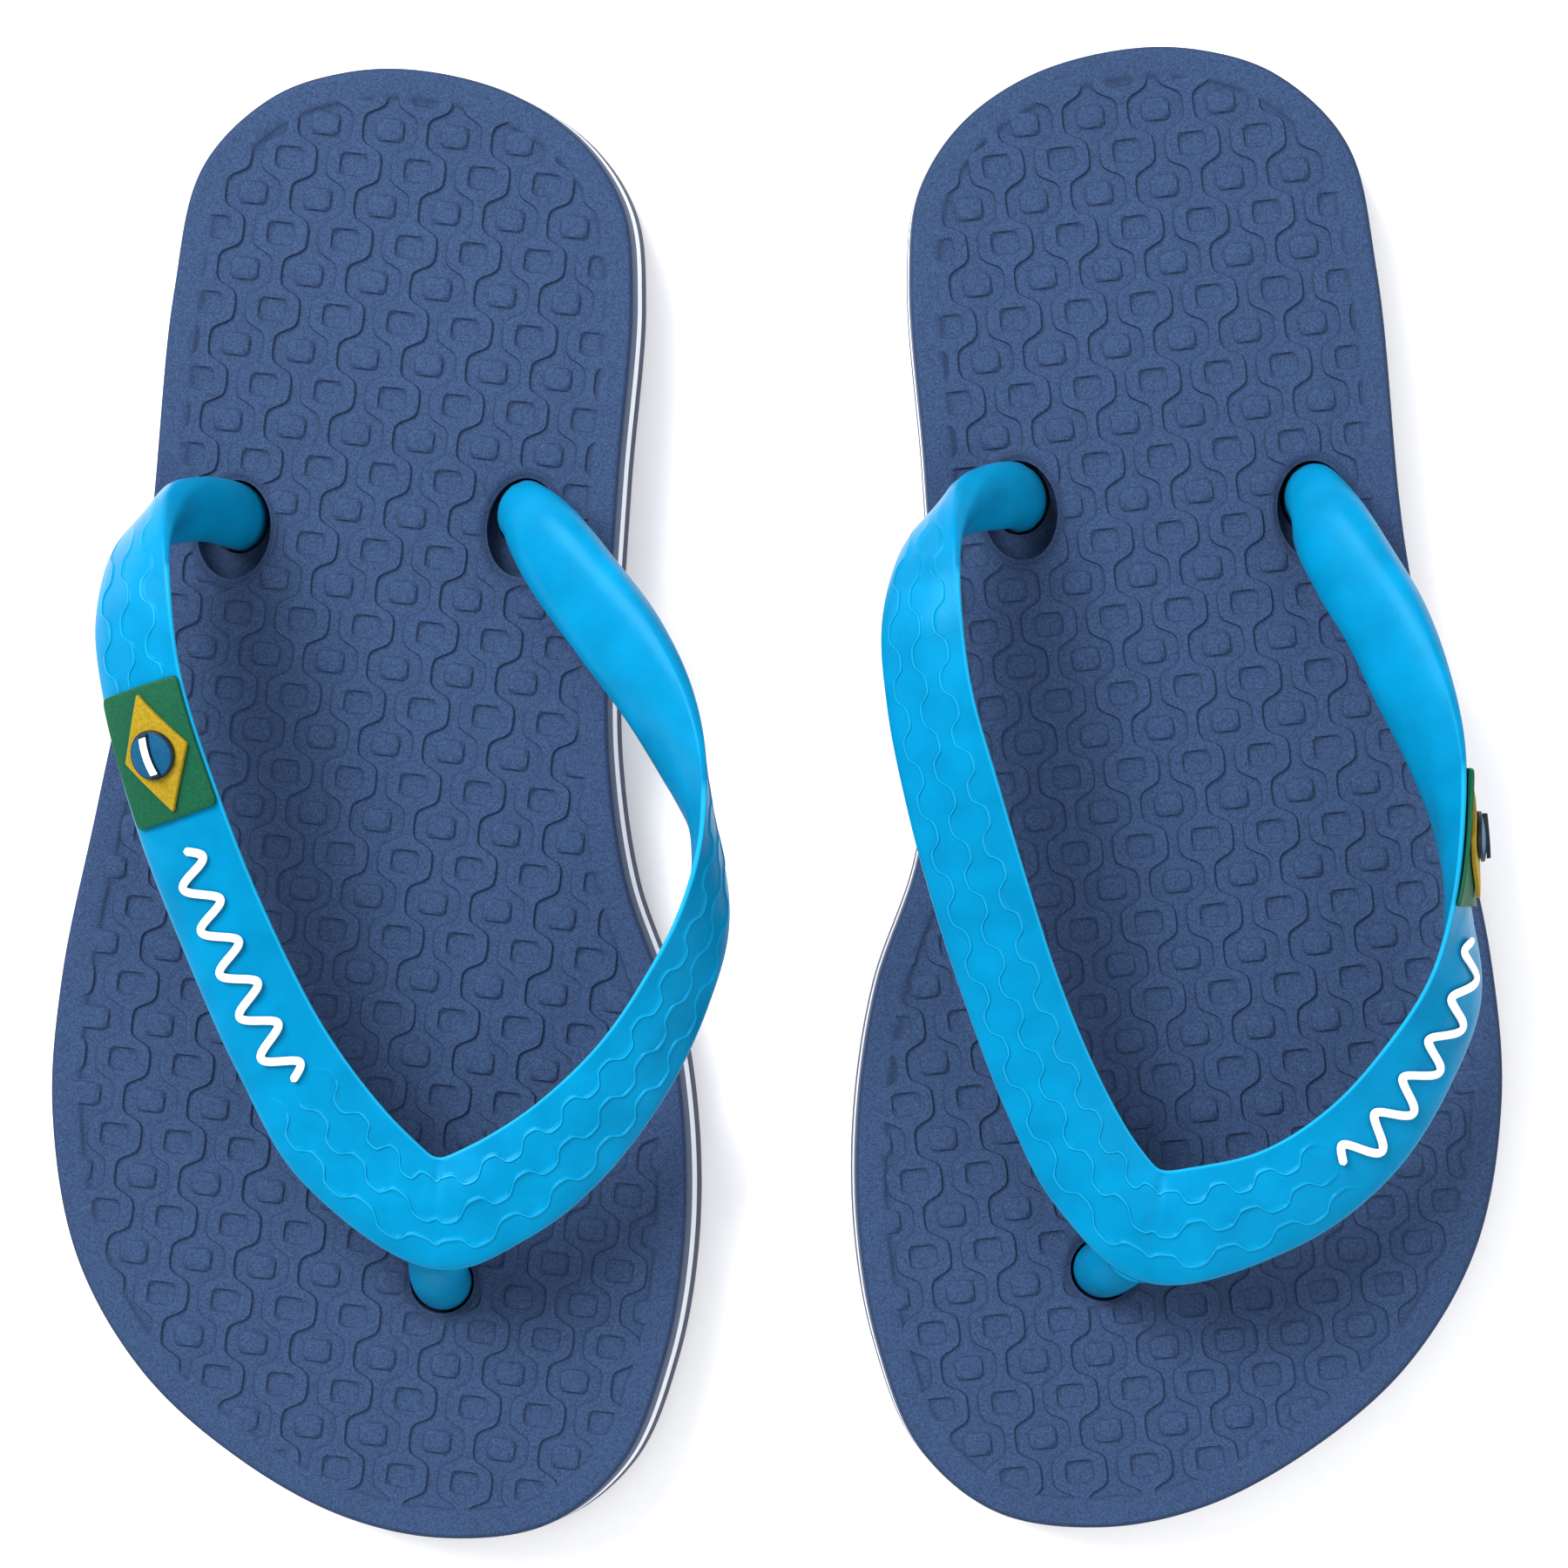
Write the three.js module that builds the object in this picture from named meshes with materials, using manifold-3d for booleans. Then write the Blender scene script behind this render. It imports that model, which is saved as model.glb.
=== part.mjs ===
// A pair of child's thong sandals (flip flops), millimetres, +Z up, toes towards -Y.
// Each sandal is a three-layer moulded sole, a one-piece elastic strap that plugs through it,
// and a small raised emblem and a raised print on the strap's outer arm.
//
// Every sandal is drawn in its own frame: x runs towards the inner side of the foot, y towards
// the heel, and the origin lies between the two side plugs. The left one is its mirror image.
import * as THREE from 'three';
import { mergeVertices } from 'three/addons/utils/BufferGeometryUtils.js';
import Module from 'manifold-3d';

const wasm = await Module();
wasm.setup();

// ---- Driving dimensions ------------------------------------------------------------------
const soleLength = 193;          // heel to toe, at the foot's side of the sole
const soleWidth = 86.5;          // across the ball of the foot
const footbedThickness = 5.5;
const midsoleThickness = 4;
const outsoleThickness = 4.5;
const wallFlare = 1.3;           // how far the wall's foot stands outside its top edge
const flexFromPlugs = 78;        // side plugs to the line where the sole bends
const flexGap = 0.3;             // between the heel half and the toe half of a layer

const strapWidth = 12;           // of the arms' band
const strapThickness = 3;        // of the arms' band
const stemLength = 8.8;          // the side stem's section, heel to toe
const stemThickness = 7.4;       // the side stem's section, across
const postDiameter = 7.7;        // the stem between the toes
const stemClearance = 0.4;       // round each stem in the midsole and the outsole
const slotLength = 13.2;         // of the footbed's side slots, heel to toe
const slotWidth = 9.8;
const slotFloor = 1.5;           // foam left under each slot
const plugDiameter = 14;
const plugThickness = 2.6;
const plugClearance = 0.5;       // round and above each plug in its recess
const plugHeight = 0.4;          // of the plugs' undersides above the ground

const emblemFromPost = 71.8;     // along the outer arm, from the strap's point to the emblem
const emblemLength = 17.2;
const lozengeLength = 15.3;
const lozengeWidth = 9.4;
const discDiameter = 6.2;
const barLength = 5.6;
const barWidth = 1.3;
const emblemLayer = 0.5;         // thickness of each moulded layer of the emblem
const emblemGap = 0.2;           // under each of them
const waveStart = 26;            // along the outer arm, from the strap's point
const waveLength = 33;
const waveCount = 5.5;
const waveHeight = 2.2;          // to each side of the arm's middle
const waveStroke = 1.1;

const toeOut = 6.5;              // degrees that each sandal is turned outwards
const sandalSpacing = 104.4;     // between the two sandals' own origins
const leftSetBack = 2.1;         // how far the left one lies towards the heels' side

// ---- Sizes that follow from them ---------------------------------------------------------
const midsoleBottom = outsoleThickness;
const footbedBottom = midsoleBottom + midsoleThickness;
const soleThickness = footbedBottom + footbedThickness;
const recessDepth = plugHeight + plugThickness + plugClearance;

// The sole's top edge at its drawn size, from the heel round the inner side to the toes.
const drawnOutline = [
  [-1, 59.3], [11.5, 57.4], [21.5, 52], [27.9, 43.8], [30.4, 32], [31.2, 8], [32.4, -14],
  [34.2, -29], [38.2, -44.5], [45.2, -59.5], [49.6, -76], [51.3, -92], [50.4, -107],
  [46.4, -121.2], [37.5, -130.4], [24, -133.9], [10, -132.6], [-5, -126.4], [-18.5, -116.8],
  [-28.9, -102.7], [-34.4, -84], [-35.2, -66], [-33, -42], [-30.2, -10], [-30.6, 26],
  [-28.6, 43.5], [-20.5, 53.6], [-11, 58],
];
const outlineSteps = 66;
const drawnLength = 193.2;
const drawnWidth = 86.5;
const stretchX = soleWidth / drawnWidth;
const stretchY = soleLength / drawnLength;
const flexY = -flexFromPlugs * stretchY;

const drawnPlugs = { outer: [-19, -2.2], inner: [19.4, 2.3], toe: [19.9, -100.1] };
const plugPlace = ([x, y]) => [x * stretchX, y * stretchY];
const plugPlaces = {
  outer: plugPlace(drawnPlugs.outer),
  inner: plugPlace(drawnPlugs.inner),
  toe: plugPlace(drawnPlugs.toe),
};

// Each strap arm runs from its side stem to the strap's point. A row holds one station:
// the foot-side edge x, y, height over the footbed, then the outer edge's, then the thickness.
const drawnStrapWidth = 12;
const drawnStrapThickness = 3;
const drawnStemThickness = 7.4;
const followFrom = 3;            // up to this height over the footbed a station keeps to its stem
const followAt = 10;             // and from this height it follows the sole's length and width
const stemRow = ([x, y]) => (
  [x, y + stemLength / 2, -3, x, y - stemLength / 2, -3, drawnStemThickness]
);
const straps = {
  right: {
    outer: [
      stemRow(drawnPlugs.outer),
      [-20.5, 2.4, 2.5, -19.5, -6.4, 2, 7.2], [-22.3, 2, 9, -22, -6.3, 6.5, 6.6],
      [-23.5, -0.5, 17, -26.5, -6.8, 10.5, 5.4], [-23.2, -5.5, 23.5, -30.3, -9.3, 15, 4.2],
      [-21.5, -13.5, 27, -31.3, -18.5, 20, 3.4], [-18.7, -24.4, 27.5, -29, -28.8, 21, 3],
      [-12.3, -39.5, 25, -23.3, -44.3, 19.8, 3], [-5.5, -53.2, 21.5, -16.3, -58.9, 17, 3],
      [3.2, -67.2, 18.3, -7.5, -74.7, 14.8, 3], [11.8, -76.8, 16.4, 2, -87.5, 14, 3.2],
    ],
    inner: [
      stemRow(drawnPlugs.inner),
      [20.8, 6.5, 2.5, 18.6, -1.8, 1.5, 7.2], [25.5, 4, 8, 18.5, -2.3, 3.8, 6.6],
      [32.3, -2.3, 12.5, 22.6, -8, 7, 5.6], [39.5, -9.8, 17, 30.2, -15.8, 10.8, 4.8],
      [45.3, -18.9, 21, 37.6, -23.2, 12.6, 4.2], [48.3, -28, 24, 43.4, -30, 13, 3.8],
      [49, -37.5, 25, 49.3, -37.8, 13.2, 3.4], [47.4, -46.5, 23.5, 52.5, -48, 13.3, 3.2],
      [44.2, -54.8, 21.5, 51.5, -58, 13.3, 3], [38.7, -65, 19, 47.4, -70.8, 13.3, 3],
      [31.5, -73.6, 17.2, 40, -83.4, 13.4, 3.1], [25.5, -78.7, 16.1, 31.8, -91.5, 13.7, 3.3],
    ],
    point: [19.2, -82.8, 15.5, 20.8, -97, 14, 3.6],
    postTop: [20, -92, 14.2],
  },
  left: {
    outer: [
      stemRow(drawnPlugs.outer),
      [-20.8, 1.5, 2.5, -17.2, -6.4, 1.5, 7.2], [-23.8, -3, 8, -16, -8.5, 3.6, 6.6],
      [-27, -10.5, 12.7, -17.9, -15.5, 7.5, 5.6], [-29.8, -18, 17, -20.8, -22.3, 11, 4.8],
      [-31.7, -27, 20.5, -23.4, -29.8, 12.8, 4.2], [-32.4, -36.5, 23, -26.4, -37.3, 13.3, 3.8],
      [-31.2, -46.5, 24, -29.3, -46.5, 12.7, 3.4], [-28.8, -57, 22.8, -30.9, -57.6, 11.8, 3.2],
      [-25, -66, 20.8, -31.6, -69, 11.5, 3], [-19, -73.6, 18.7, -27, -79.3, 11.6, 3],
      [-10.8, -81, 17, -18.3, -90.4, 12.1, 3], [-1.5, -85.6, 15.7, -5.2, -98.3, 12.8, 3.3],
    ],
    inner: [
      stemRow(drawnPlugs.inner),
      [20.3, 6.9, 2.5, 20.5, -1.9, 2, 7.2], [22.8, 6.3, 8.5, 23.2, -2, 6, 6.6],
      [25.5, 3.5, 16, 28.5, -1.8, 9.8, 5.4], [27.4, -1.8, 22.5, 33.6, -3.5, 14, 4.2],
      [28.4, -11, 26.5, 38.2, -12.6, 19.8, 3.4], [28.3, -22.5, 27, 39, -23.5, 21, 3],
      [26.3, -35, 25.5, 38, -37, 20.5, 3], [24, -48, 23, 36, -50.5, 18.6, 3],
      [21.5, -60.5, 20, 33.3, -64, 16.5, 3], [18.2, -72.3, 17.5, 30, -77, 14.6, 3],
      [14.6, -81.5, 15.7, 25.2, -89.6, 13.6, 3.3],
    ],
    point: [11.4, -87, 15, 14.8, -101, 13.5, 3.6],
    postTop: [14.6, -95.8, 13.8],
  },
};

// ---- Materials ---------------------------------------------------------------------------
const soft = (color, roughness) => new THREE.MeshStandardMaterial({ color, roughness, metalness: 0 });
const navy = soft(0x42527c, 0.9);
const white = soft(0xf2f3f5, 0.6);
const cyan = soft(0x00a5e4, 0.45);
const green = soft(0x0f7a4a, 0.55);
const yellow = soft(0xd9a827, 0.55);
const blue = soft(0x0b6ba5, 0.45);

// ---- Solids ------------------------------------------------------------------------------
/** A three.js geometry as a solid that can be cut and joined. */
function solid(geometry) {
  const bare = geometry.clone();
  bare.deleteAttribute('normal');
  bare.deleteAttribute('uv');
  const merged = mergeVertices(bare, 1e-4);
  return new wasm.Manifold(new wasm.Mesh({
    numProp: 3,
    vertProperties: Float32Array.from(merged.attributes.position.array),
    triVerts: Uint32Array.from(merged.index.array),
  }));
}

/** The solid as a geometry, mirrored across x when side is -1. */
function geometryOf(body, side) {
  const mesh = body.getMesh();
  const positions = Float32Array.from(mesh.vertProperties);
  const index = Array.from(mesh.triVerts);
  if (side < 0) {
    for (let i = 0; i < positions.length; i += 3) positions[i] *= -1;
    index.reverse();
  }
  const geometry = new THREE.BufferGeometry();
  geometry.setAttribute('position', new THREE.BufferAttribute(positions, 3));
  geometry.setIndex(index);
  geometry.computeVertexNormals();
  return geometry;
}

/** A closed solid through a row of rings of points, all of one count, with flat ends. */
function loft(rings) {
  const count = rings[0].length;
  const middle = (ring) => ring.reduce((sum, p) => sum.add(p), new THREE.Vector3()).divideScalar(count);
  const points = [...rings.flat(), middle(rings[0]), middle(rings.at(-1))];
  const firstCap = rings.length * count;
  const lastRing = firstCap - count;
  const index = [];
  for (let k = 0; k < count; k += 1) {
    const next = (k + 1) % count;
    for (let r = 0; r < rings.length - 1; r += 1) {
      const a = r * count;
      const b = a + count;
      index.push(a + k, a + next, b + next, a + k, b + next, b + k);
    }
    index.push(firstCap, next, k, firstCap + 1, lastRing + k, lastRing + next);
  }
  const geometry = new THREE.BufferGeometry().setFromPoints(points);
  geometry.setIndex(index);
  return solid(geometry);
}

/** An upright prism of a shape between two heights. */
function prism(shape, bottom, top, curveSegments = 16) {
  const geometry = new THREE.ExtrudeGeometry(shape, {
    depth: top - bottom, bevelEnabled: false, curveSegments,
  });
  geometry.translate(0, 0, bottom);
  return geometry;
}

/** An upright oval prism about a place. */
function ovalPrism([x, y], sizeX, sizeY, bottom, top) {
  const shape = new THREE.Shape();
  shape.absellipse(x, y, sizeX / 2, sizeY / 2, 0, 2 * Math.PI);
  return solid(prism(shape, bottom, top));
}

const between = (a, b, share) => a + (b - a) * share;

// ---- The sole ----------------------------------------------------------------------------
function outlineShape() {
  const corners = drawnOutline.map(([x, y]) => new THREE.Vector3(x * stretchX, y * stretchY, 0));
  const curve = new THREE.CatmullRomCurve3(corners, true, 'centripetal');
  return new THREE.Shape(curve.getPoints(outlineSteps).slice(0, -1)
    .map((p) => new THREE.Vector2(p.x, p.y)));
}

/** One layer of the sole, whose wall leans outwards towards the ground. */
function layer(bottom, top) {
  const geometry = prism(outlineShape(), bottom, top);
  geometry.computeBoundingBox();
  const centre = geometry.boundingBox.getCenter(new THREE.Vector3());
  const size = geometry.boundingBox.getSize(new THREE.Vector3());
  const position = geometry.attributes.position;
  for (let i = 0; i < position.count; i += 1) {
    const out = wallFlare * (soleThickness - position.getZ(i)) / soleThickness;
    position.setX(i, centre.x + (position.getX(i) - centre.x) * (1 + 2 * out / size.x));
    position.setY(i, centre.y + (position.getY(i) - centre.y) * (1 + 2 * out / size.y));
  }
  return solid(geometry);
}

/** The two halves of a layer, parted at the flex line. */
function halves(body) {
  const far = 3 * (soleLength + soleWidth);
  const halfSpace = new THREE.BoxGeometry(far, far, far);
  const heelSide = solid(halfSpace.clone().translate(0, flexY + (far + flexGap) / 2, 0));
  const toeSide = solid(halfSpace.clone().translate(0, flexY - (far + flexGap) / 2, 0));
  return { heel: body.intersect(heelSide), toe: body.intersect(toeSide) };
}

function soleLayers() {
  const { outer, inner, toe } = plugPlaces;
  const past = 1;
  const slotShift = (slotLength - stemLength) / 2 - stemClearance;
  const postHole = postDiameter + 2 * stemClearance;
  const stemHole = (place, bottom, top) => ovalPrism(
    place,
    stemThickness + 2 * stemClearance,
    stemLength + 2 * stemClearance,
    bottom,
    top,
  );
  const recess = (place) => {
    const size = plugDiameter + 2 * plugClearance;
    return ovalPrism(place, size, size, -past, recessDepth);
  };

  let footbed = layer(footbedBottom, soleThickness);
  let midsole = layer(midsoleBottom, footbedBottom);
  let outsole = layer(0, outsoleThickness);
  for (const place of [outer, inner]) {
    const slotPlace = [place[0], place[1] - slotShift];
    const slotBottom = footbedBottom + slotFloor;
    footbed = footbed.subtract(
      ovalPrism(slotPlace, slotWidth, slotLength, slotBottom, soleThickness + past),
    );
    footbed = footbed.subtract(stemHole(place, footbedBottom - past, slotBottom + past));
    midsole = midsole.subtract(stemHole(place, midsoleBottom - past, footbedBottom + past));
    outsole = outsole.subtract(stemHole(place, -past, outsoleThickness + past));
    outsole = outsole.subtract(recess(place));
  }
  const bore = ovalPrism(toe, postHole, postHole, -past, soleThickness + past);
  footbed = footbed.subtract(bore);
  midsole = midsole.subtract(bore);
  outsole = outsole.subtract(bore).subtract(recess(toe));
  return { footbed: halves(footbed), midsole: halves(midsole), outsole: halves(outsole) };
}

// ---- The strap ---------------------------------------------------------------------------
/**
 * A station's row as its two edges and its thickness, at the model's own size. Low stations keep
 * their distances from the stem, so that they stay over its slot whatever the sole's size.
 */
function station([ix, iy, iz, ox, oy, oz, drawnThickness], [stemX, stemY]) {
  const placed = (x, y, height) => {
    const follow = THREE.MathUtils.smoothstep(height, followFrom, followAt);
    return new THREE.Vector3(
      stemX * stretchX + (x - stemX) * between(1, stretchX, follow),
      stemY * stretchY + (y - stemY) * between(1, stretchY, follow),
      soleThickness + height,
    );
  };
  const foot = placed(ix, iy, iz);
  const out = placed(ox, oy, oz);
  const middle = foot.clone().add(out).divideScalar(2);
  const spread = iz > 0 ? strapWidth / drawnStrapWidth : 1;
  foot.sub(middle).multiplyScalar(spread).add(middle);
  out.sub(middle).multiplyScalar(spread).add(middle);
  const swell = (drawnThickness - drawnStrapThickness) / (drawnStemThickness - drawnStrapThickness);
  return { foot, out, thickness: between(strapThickness, stemThickness, swell) };
}

/**
 * The band as closely spaced sections from the outer stem over the strap's point to the inner
 * stem. The outer edge is one smooth curve, and the foot-side edge has its corner at the point.
 */
function bandSections(drawn) {
  const perStation = 3;
  const point = station(drawn.point, drawnPlugs.toe);
  const outerArm = [...drawn.outer.map((row) => station(row, drawnPlugs.outer)), point];
  const innerArm = [...drawn.inner.map((row) => station(row, drawnPlugs.inner)), point].reverse();
  const all = [...outerArm, ...innerArm.slice(1)];
  const smooth = (points) => new THREE.CatmullRomCurve3(points, false, 'centripetal');
  const outCurve = smooth(all.map((s) => s.out));
  const footCurves = [outerArm, innerArm].map((arm) => smooth(arm.map((s) => s.foot)));
  const corner = outerArm.length - 1;
  const last = all.length - 1;
  const sections = [];
  for (let i = 0; i <= last * perStation; i += 1) {
    const at = i / perStation;
    const low = Math.min(Math.floor(at), last - 1);
    const foot = at <= corner
      ? footCurves[0].getPoint(at / corner)
      : footCurves[1].getPoint((at - corner) / (last - corner));
    const out = outCurve.getPoint(at / last);
    sections.push({
      middle: foot.clone().add(out).divideScalar(2),
      half: foot.clone().sub(out).divideScalar(2),
      thickness: between(all[low].thickness, all[low + 1].thickness, at - low),
    });
  }
  sections.forEach((section, i) => {
    const before = sections[Math.max(i - 1, 0)].middle;
    const after = sections[Math.min(i + 1, sections.length - 1)].middle;
    section.normal = after.clone().sub(before).cross(section.half).normalize();
  });
  const pointIndex = corner * perStation;
  sections[pointIndex].fromPoint = 0;
  for (let i = pointIndex - 1; i >= 0; i -= 1) {
    sections[i].fromPoint = sections[i + 1].fromPoint
      + sections[i].middle.distanceTo(sections[i + 1].middle);
  }
  return { sections, outerArm: sections.slice(0, pointIndex + 1).reverse() };
}

/** A section's ring: an oval at the stems that squares up into a flat band. */
function bandRing({ middle, half, normal, thickness }) {
  const ringSteps = 12;
  const flatness = THREE.MathUtils.smoothstep(-thickness, -stemThickness, -strapThickness);
  const power = 2 / between(2, 5, flatness);
  const shaped = (value) => Math.sign(value) * Math.abs(value) ** power;
  return Array.from({ length: ringSteps }, (unused, k) => {
    const angle = 2 * Math.PI * k / ringSteps;
    return middle.clone()
      .addScaledVector(half, shaped(Math.cos(angle)))
      .addScaledVector(normal, shaped(Math.sin(angle)) * thickness / 2);
  });
}

/** A plug's disc with rounded rims, under one stem. */
function plug([x, y]) {
  const radius = plugDiameter / 2;
  const rim = plugThickness / 3;
  const profile = [
    [0, 0], [radius - rim, 0], [radius, rim], [radius, plugThickness - rim],
    [radius - rim, plugThickness], [0, plugThickness],
  ].map(([r, z]) => new THREE.Vector2(r, z));
  const geometry = new THREE.LatheGeometry(profile, 18);
  geometry.rotateX(Math.PI / 2);
  geometry.translate(x, y, plugHeight);
  return solid(geometry);
}

/** The toe post: straight through the sole, then leaning back under the strap's point. */
function toePost(drawn) {
  const steps = 16;
  const [x, y] = plugPlaces.toe;
  const [topX, topY, topZ] = drawn.postTop;
  const levels = [
    [x, y, plugHeight + plugThickness / 2, 1],
    [x, y, soleThickness, 1],
    [between(x, topX * stretchX, 0.3), between(y, topY * stretchY, 0.3), soleThickness + topZ * 0.45, 1],
    [topX * stretchX, topY * stretchY, soleThickness + topZ, 1.08],
  ];
  const rings = levels.map(([cx, cy, z, swell]) => Array.from({ length: steps }, (unused, k) => {
    const angle = 2 * Math.PI * k / steps;
    const radius = swell * postDiameter / 2;
    return new THREE.Vector3(cx + radius * Math.cos(angle), cy + radius * Math.sin(angle), z);
  }));
  return loft(rings);
}

function strap(drawn, sections) {
  let body = loft(sections.map(bandRing)).add(toePost(drawn));
  for (const place of [plugPlaces.outer, plugPlaces.inner]) {
    const stem = ovalPrism(
      place, stemThickness, stemLength, plugHeight + plugThickness / 2, soleThickness - 2.5,
    );
    body = body.add(stem);
  }
  for (const place of Object.values(plugPlaces)) body = body.add(plug(place));
  return body;
}

// ---- The emblem and the print ------------------------------------------------------------
/** A point over the outer arm's face: along from the strap's point, across its middle, and up. */
function overArm(outerArm, along, across, lift) {
  let i = 1;
  while (i < outerArm.length - 1 && outerArm[i].fromPoint < along) i += 1;
  const a = outerArm[i - 1];
  const b = outerArm[i];
  const share = (along - a.fromPoint) / (b.fromPoint - a.fromPoint);
  const half = a.half.clone().lerp(b.half, share);
  const normal = a.normal.clone().lerp(b.normal, share).normalize();
  const rise = between(a.thickness, b.thickness, share) / 2 + lift;
  return a.middle.clone().lerp(b.middle, share)
    .addScaledVector(half, across / half.length())
    .addScaledVector(normal, rise);
}

/** A thin layer over the arm about the emblem's middle, with a closed outline [along, across]. */
function badge(outerArm, outline, lift) {
  const ringSpacing = 2.1;
  const reach = Math.max(...outline.map(([along, across]) => Math.hypot(along, across)));
  const rings = Math.round(reach / ringSpacing);
  const shares = Array.from({ length: rings + 1 }, (unused, i) => Math.max(i / rings, 0.02));
  const ringAt = (share, height) => outline.map(
    ([along, across]) => overArm(outerArm, emblemFromPost + along * share, across * share, height),
  );
  const under = shares.map((share) => ringAt(share, lift));
  const over = shares.toReversed().map((share) => ringAt(share, lift + emblemLayer));
  return loft([...under, ...over]);
}

/** Points along the edges of a closed outline, a few to each edge. */
function alongEdges(corners, perEdge) {
  return corners.flatMap(([x, y], i) => {
    const [nx, ny] = corners[(i + 1) % corners.length];
    return Array.from({ length: perEdge }, (unused, k) => [
      between(x, nx, k / perEdge), between(y, ny, k / perEdge),
    ]);
  });
}

function emblem(outerArm) {
  const [halfLength, halfWidth] = [emblemLength / 2, strapWidth / 2 - 0.4];
  const patch = [
    [halfLength, halfWidth], [halfLength, -halfWidth], [-halfLength, -halfWidth], [-halfLength, halfWidth],
  ];
  const lozenge = [
    [lozengeLength / 2, 0], [0, -lozengeWidth / 2], [-lozengeLength / 2, 0], [0, lozengeWidth / 2],
  ];
  const discSteps = 16;
  const disc = Array.from({ length: discSteps }, (unused, k) => {
    const angle = -2 * Math.PI * k / discSteps;
    return [Math.cos(angle) * discDiameter / 2, Math.sin(angle) * discDiameter / 2];
  });
  const [barEnd, barSide] = [barLength / 2, barWidth / 2];
  const bar = [[barEnd, barSide], [barEnd, -barSide], [-barEnd, -barSide], [-barEnd, barSide]];
  const step = emblemLayer + emblemGap;
  return {
    patch: badge(outerArm, alongEdges(patch, 6), emblemGap),
    lozenge: badge(outerArm, alongEdges(lozenge, 4), emblemGap + step),
    disc: badge(outerArm, disc, emblemGap + 2 * step),
    bar: badge(outerArm, alongEdges(bar, 2), emblemGap + 3 * step),
  };
}

/** The raised print: one even wave line along the outer arm. */
function wavePrint(outerArm) {
  const steps = 66;
  const turn = 2 * Math.PI * waveCount / waveLength;
  const rings = Array.from({ length: steps + 1 }, (unused, i) => {
    const along = waveLength * i / steps;
    const across = waveHeight * Math.sin(turn * along);
    const slope = waveHeight * turn * Math.cos(turn * along);
    const reach = waveStroke / 2 / Math.hypot(1, slope);
    const corner = (sideways, lift) => overArm(
      outerArm,
      waveStart + along - slope * reach * sideways,
      across + reach * sideways,
      lift,
    );
    const top = emblemGap + emblemLayer;
    return [corner(1, emblemGap), corner(-1, emblemGap), corner(-1, top), corner(1, top)];
  });
  return loft(rings);
}

// ---- The pair ----------------------------------------------------------------------------
function sandal(name, side) {
  const group = new THREE.Group();
  const put = (node, body, material) => {
    const mesh = new THREE.Mesh(geometryOf(body, side), material);
    mesh.name = `${name}_${node}`;
    group.add(mesh);
  };
  const { sections, outerArm } = bandSections(straps[name]);
  const layers = soleLayers();
  for (const half of ['heel', 'toe']) {
    put(`footbed_${half}`, layers.footbed[half], navy);
    put(`midsole_${half}`, layers.midsole[half], white);
    put(`outsole_${half}`, layers.outsole[half], navy);
  }
  put('strap', strap(straps[name], sections), cyan);
  const { patch, lozenge, disc, bar } = emblem(outerArm);
  put('emblem_patch', patch, green);
  put('emblem_lozenge', lozenge, yellow);
  put('emblem_disc', disc, blue);
  put('emblem_bar', bar, white);
  put('strap_print', wavePrint(outerArm), white);
  return group;
}

const pair = new THREE.Group();
const right = sandal('right', 1);
right.position.set(-sandalSpacing / 2, 0, 0);
right.rotation.z = THREE.MathUtils.degToRad(-toeOut);
const left = sandal('left', -1);
left.position.set(sandalSpacing / 2, leftSetBack, 0);
left.rotation.z = THREE.MathUtils.degToRad(toeOut);
pair.add(right, left);

// The pair stands with the middle of its box over the origin.
pair.updateMatrixWorld(true);
const middle = new THREE.Box3().setFromObject(pair, true).getCenter(new THREE.Vector3());
pair.position.set(-middle.x, -middle.y, 0);

export default pair;
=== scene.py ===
# %% [markdown]
# # A pair of child's thong sandals
#
# Each sandal is a sole of three moulded foam and rubber layers, one elastic strap whose stems
# plug through the sole, a small raised emblem and a raised wave print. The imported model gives
# the places and the bodies that move. This lesson builds the visible surfaces around it:
# every surface is a function on a grid, worked out as whole arrays, and cut or joined where
# the real moulding has one skin.

import math

import bmesh
import bpy
import numpy as np
from mathutils import Matrix, Vector


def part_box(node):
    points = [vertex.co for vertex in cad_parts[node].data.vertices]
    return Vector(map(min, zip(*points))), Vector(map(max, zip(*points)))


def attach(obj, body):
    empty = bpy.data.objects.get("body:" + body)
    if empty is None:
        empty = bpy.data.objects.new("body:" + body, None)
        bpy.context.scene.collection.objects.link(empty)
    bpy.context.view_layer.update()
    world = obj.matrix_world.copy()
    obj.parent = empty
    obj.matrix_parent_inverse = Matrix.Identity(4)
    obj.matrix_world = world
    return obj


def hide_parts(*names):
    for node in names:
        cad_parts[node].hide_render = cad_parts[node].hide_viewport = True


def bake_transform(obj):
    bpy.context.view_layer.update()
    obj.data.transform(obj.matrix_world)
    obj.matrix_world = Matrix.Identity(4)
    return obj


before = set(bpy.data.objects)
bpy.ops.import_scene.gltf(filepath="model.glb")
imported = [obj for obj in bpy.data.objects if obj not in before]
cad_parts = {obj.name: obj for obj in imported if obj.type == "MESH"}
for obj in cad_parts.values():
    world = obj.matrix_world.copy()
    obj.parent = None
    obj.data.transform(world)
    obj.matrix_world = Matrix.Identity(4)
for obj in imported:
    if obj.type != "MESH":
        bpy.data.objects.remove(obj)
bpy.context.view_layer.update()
MM = 0.001

# %% [markdown]
# ## Camera, light and floor
#
# A pair of shoes on a white table is shown from straight above with a long lens, a little to
# the right of its middle, so that the soles show a sliver of their right-hand walls. The light
# is one broad lamp towards the heels on the left, which shades the moulded relief, and a pale
# room. A row of small lamps would give hard double shadows, and a bare white room none at all.

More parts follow.
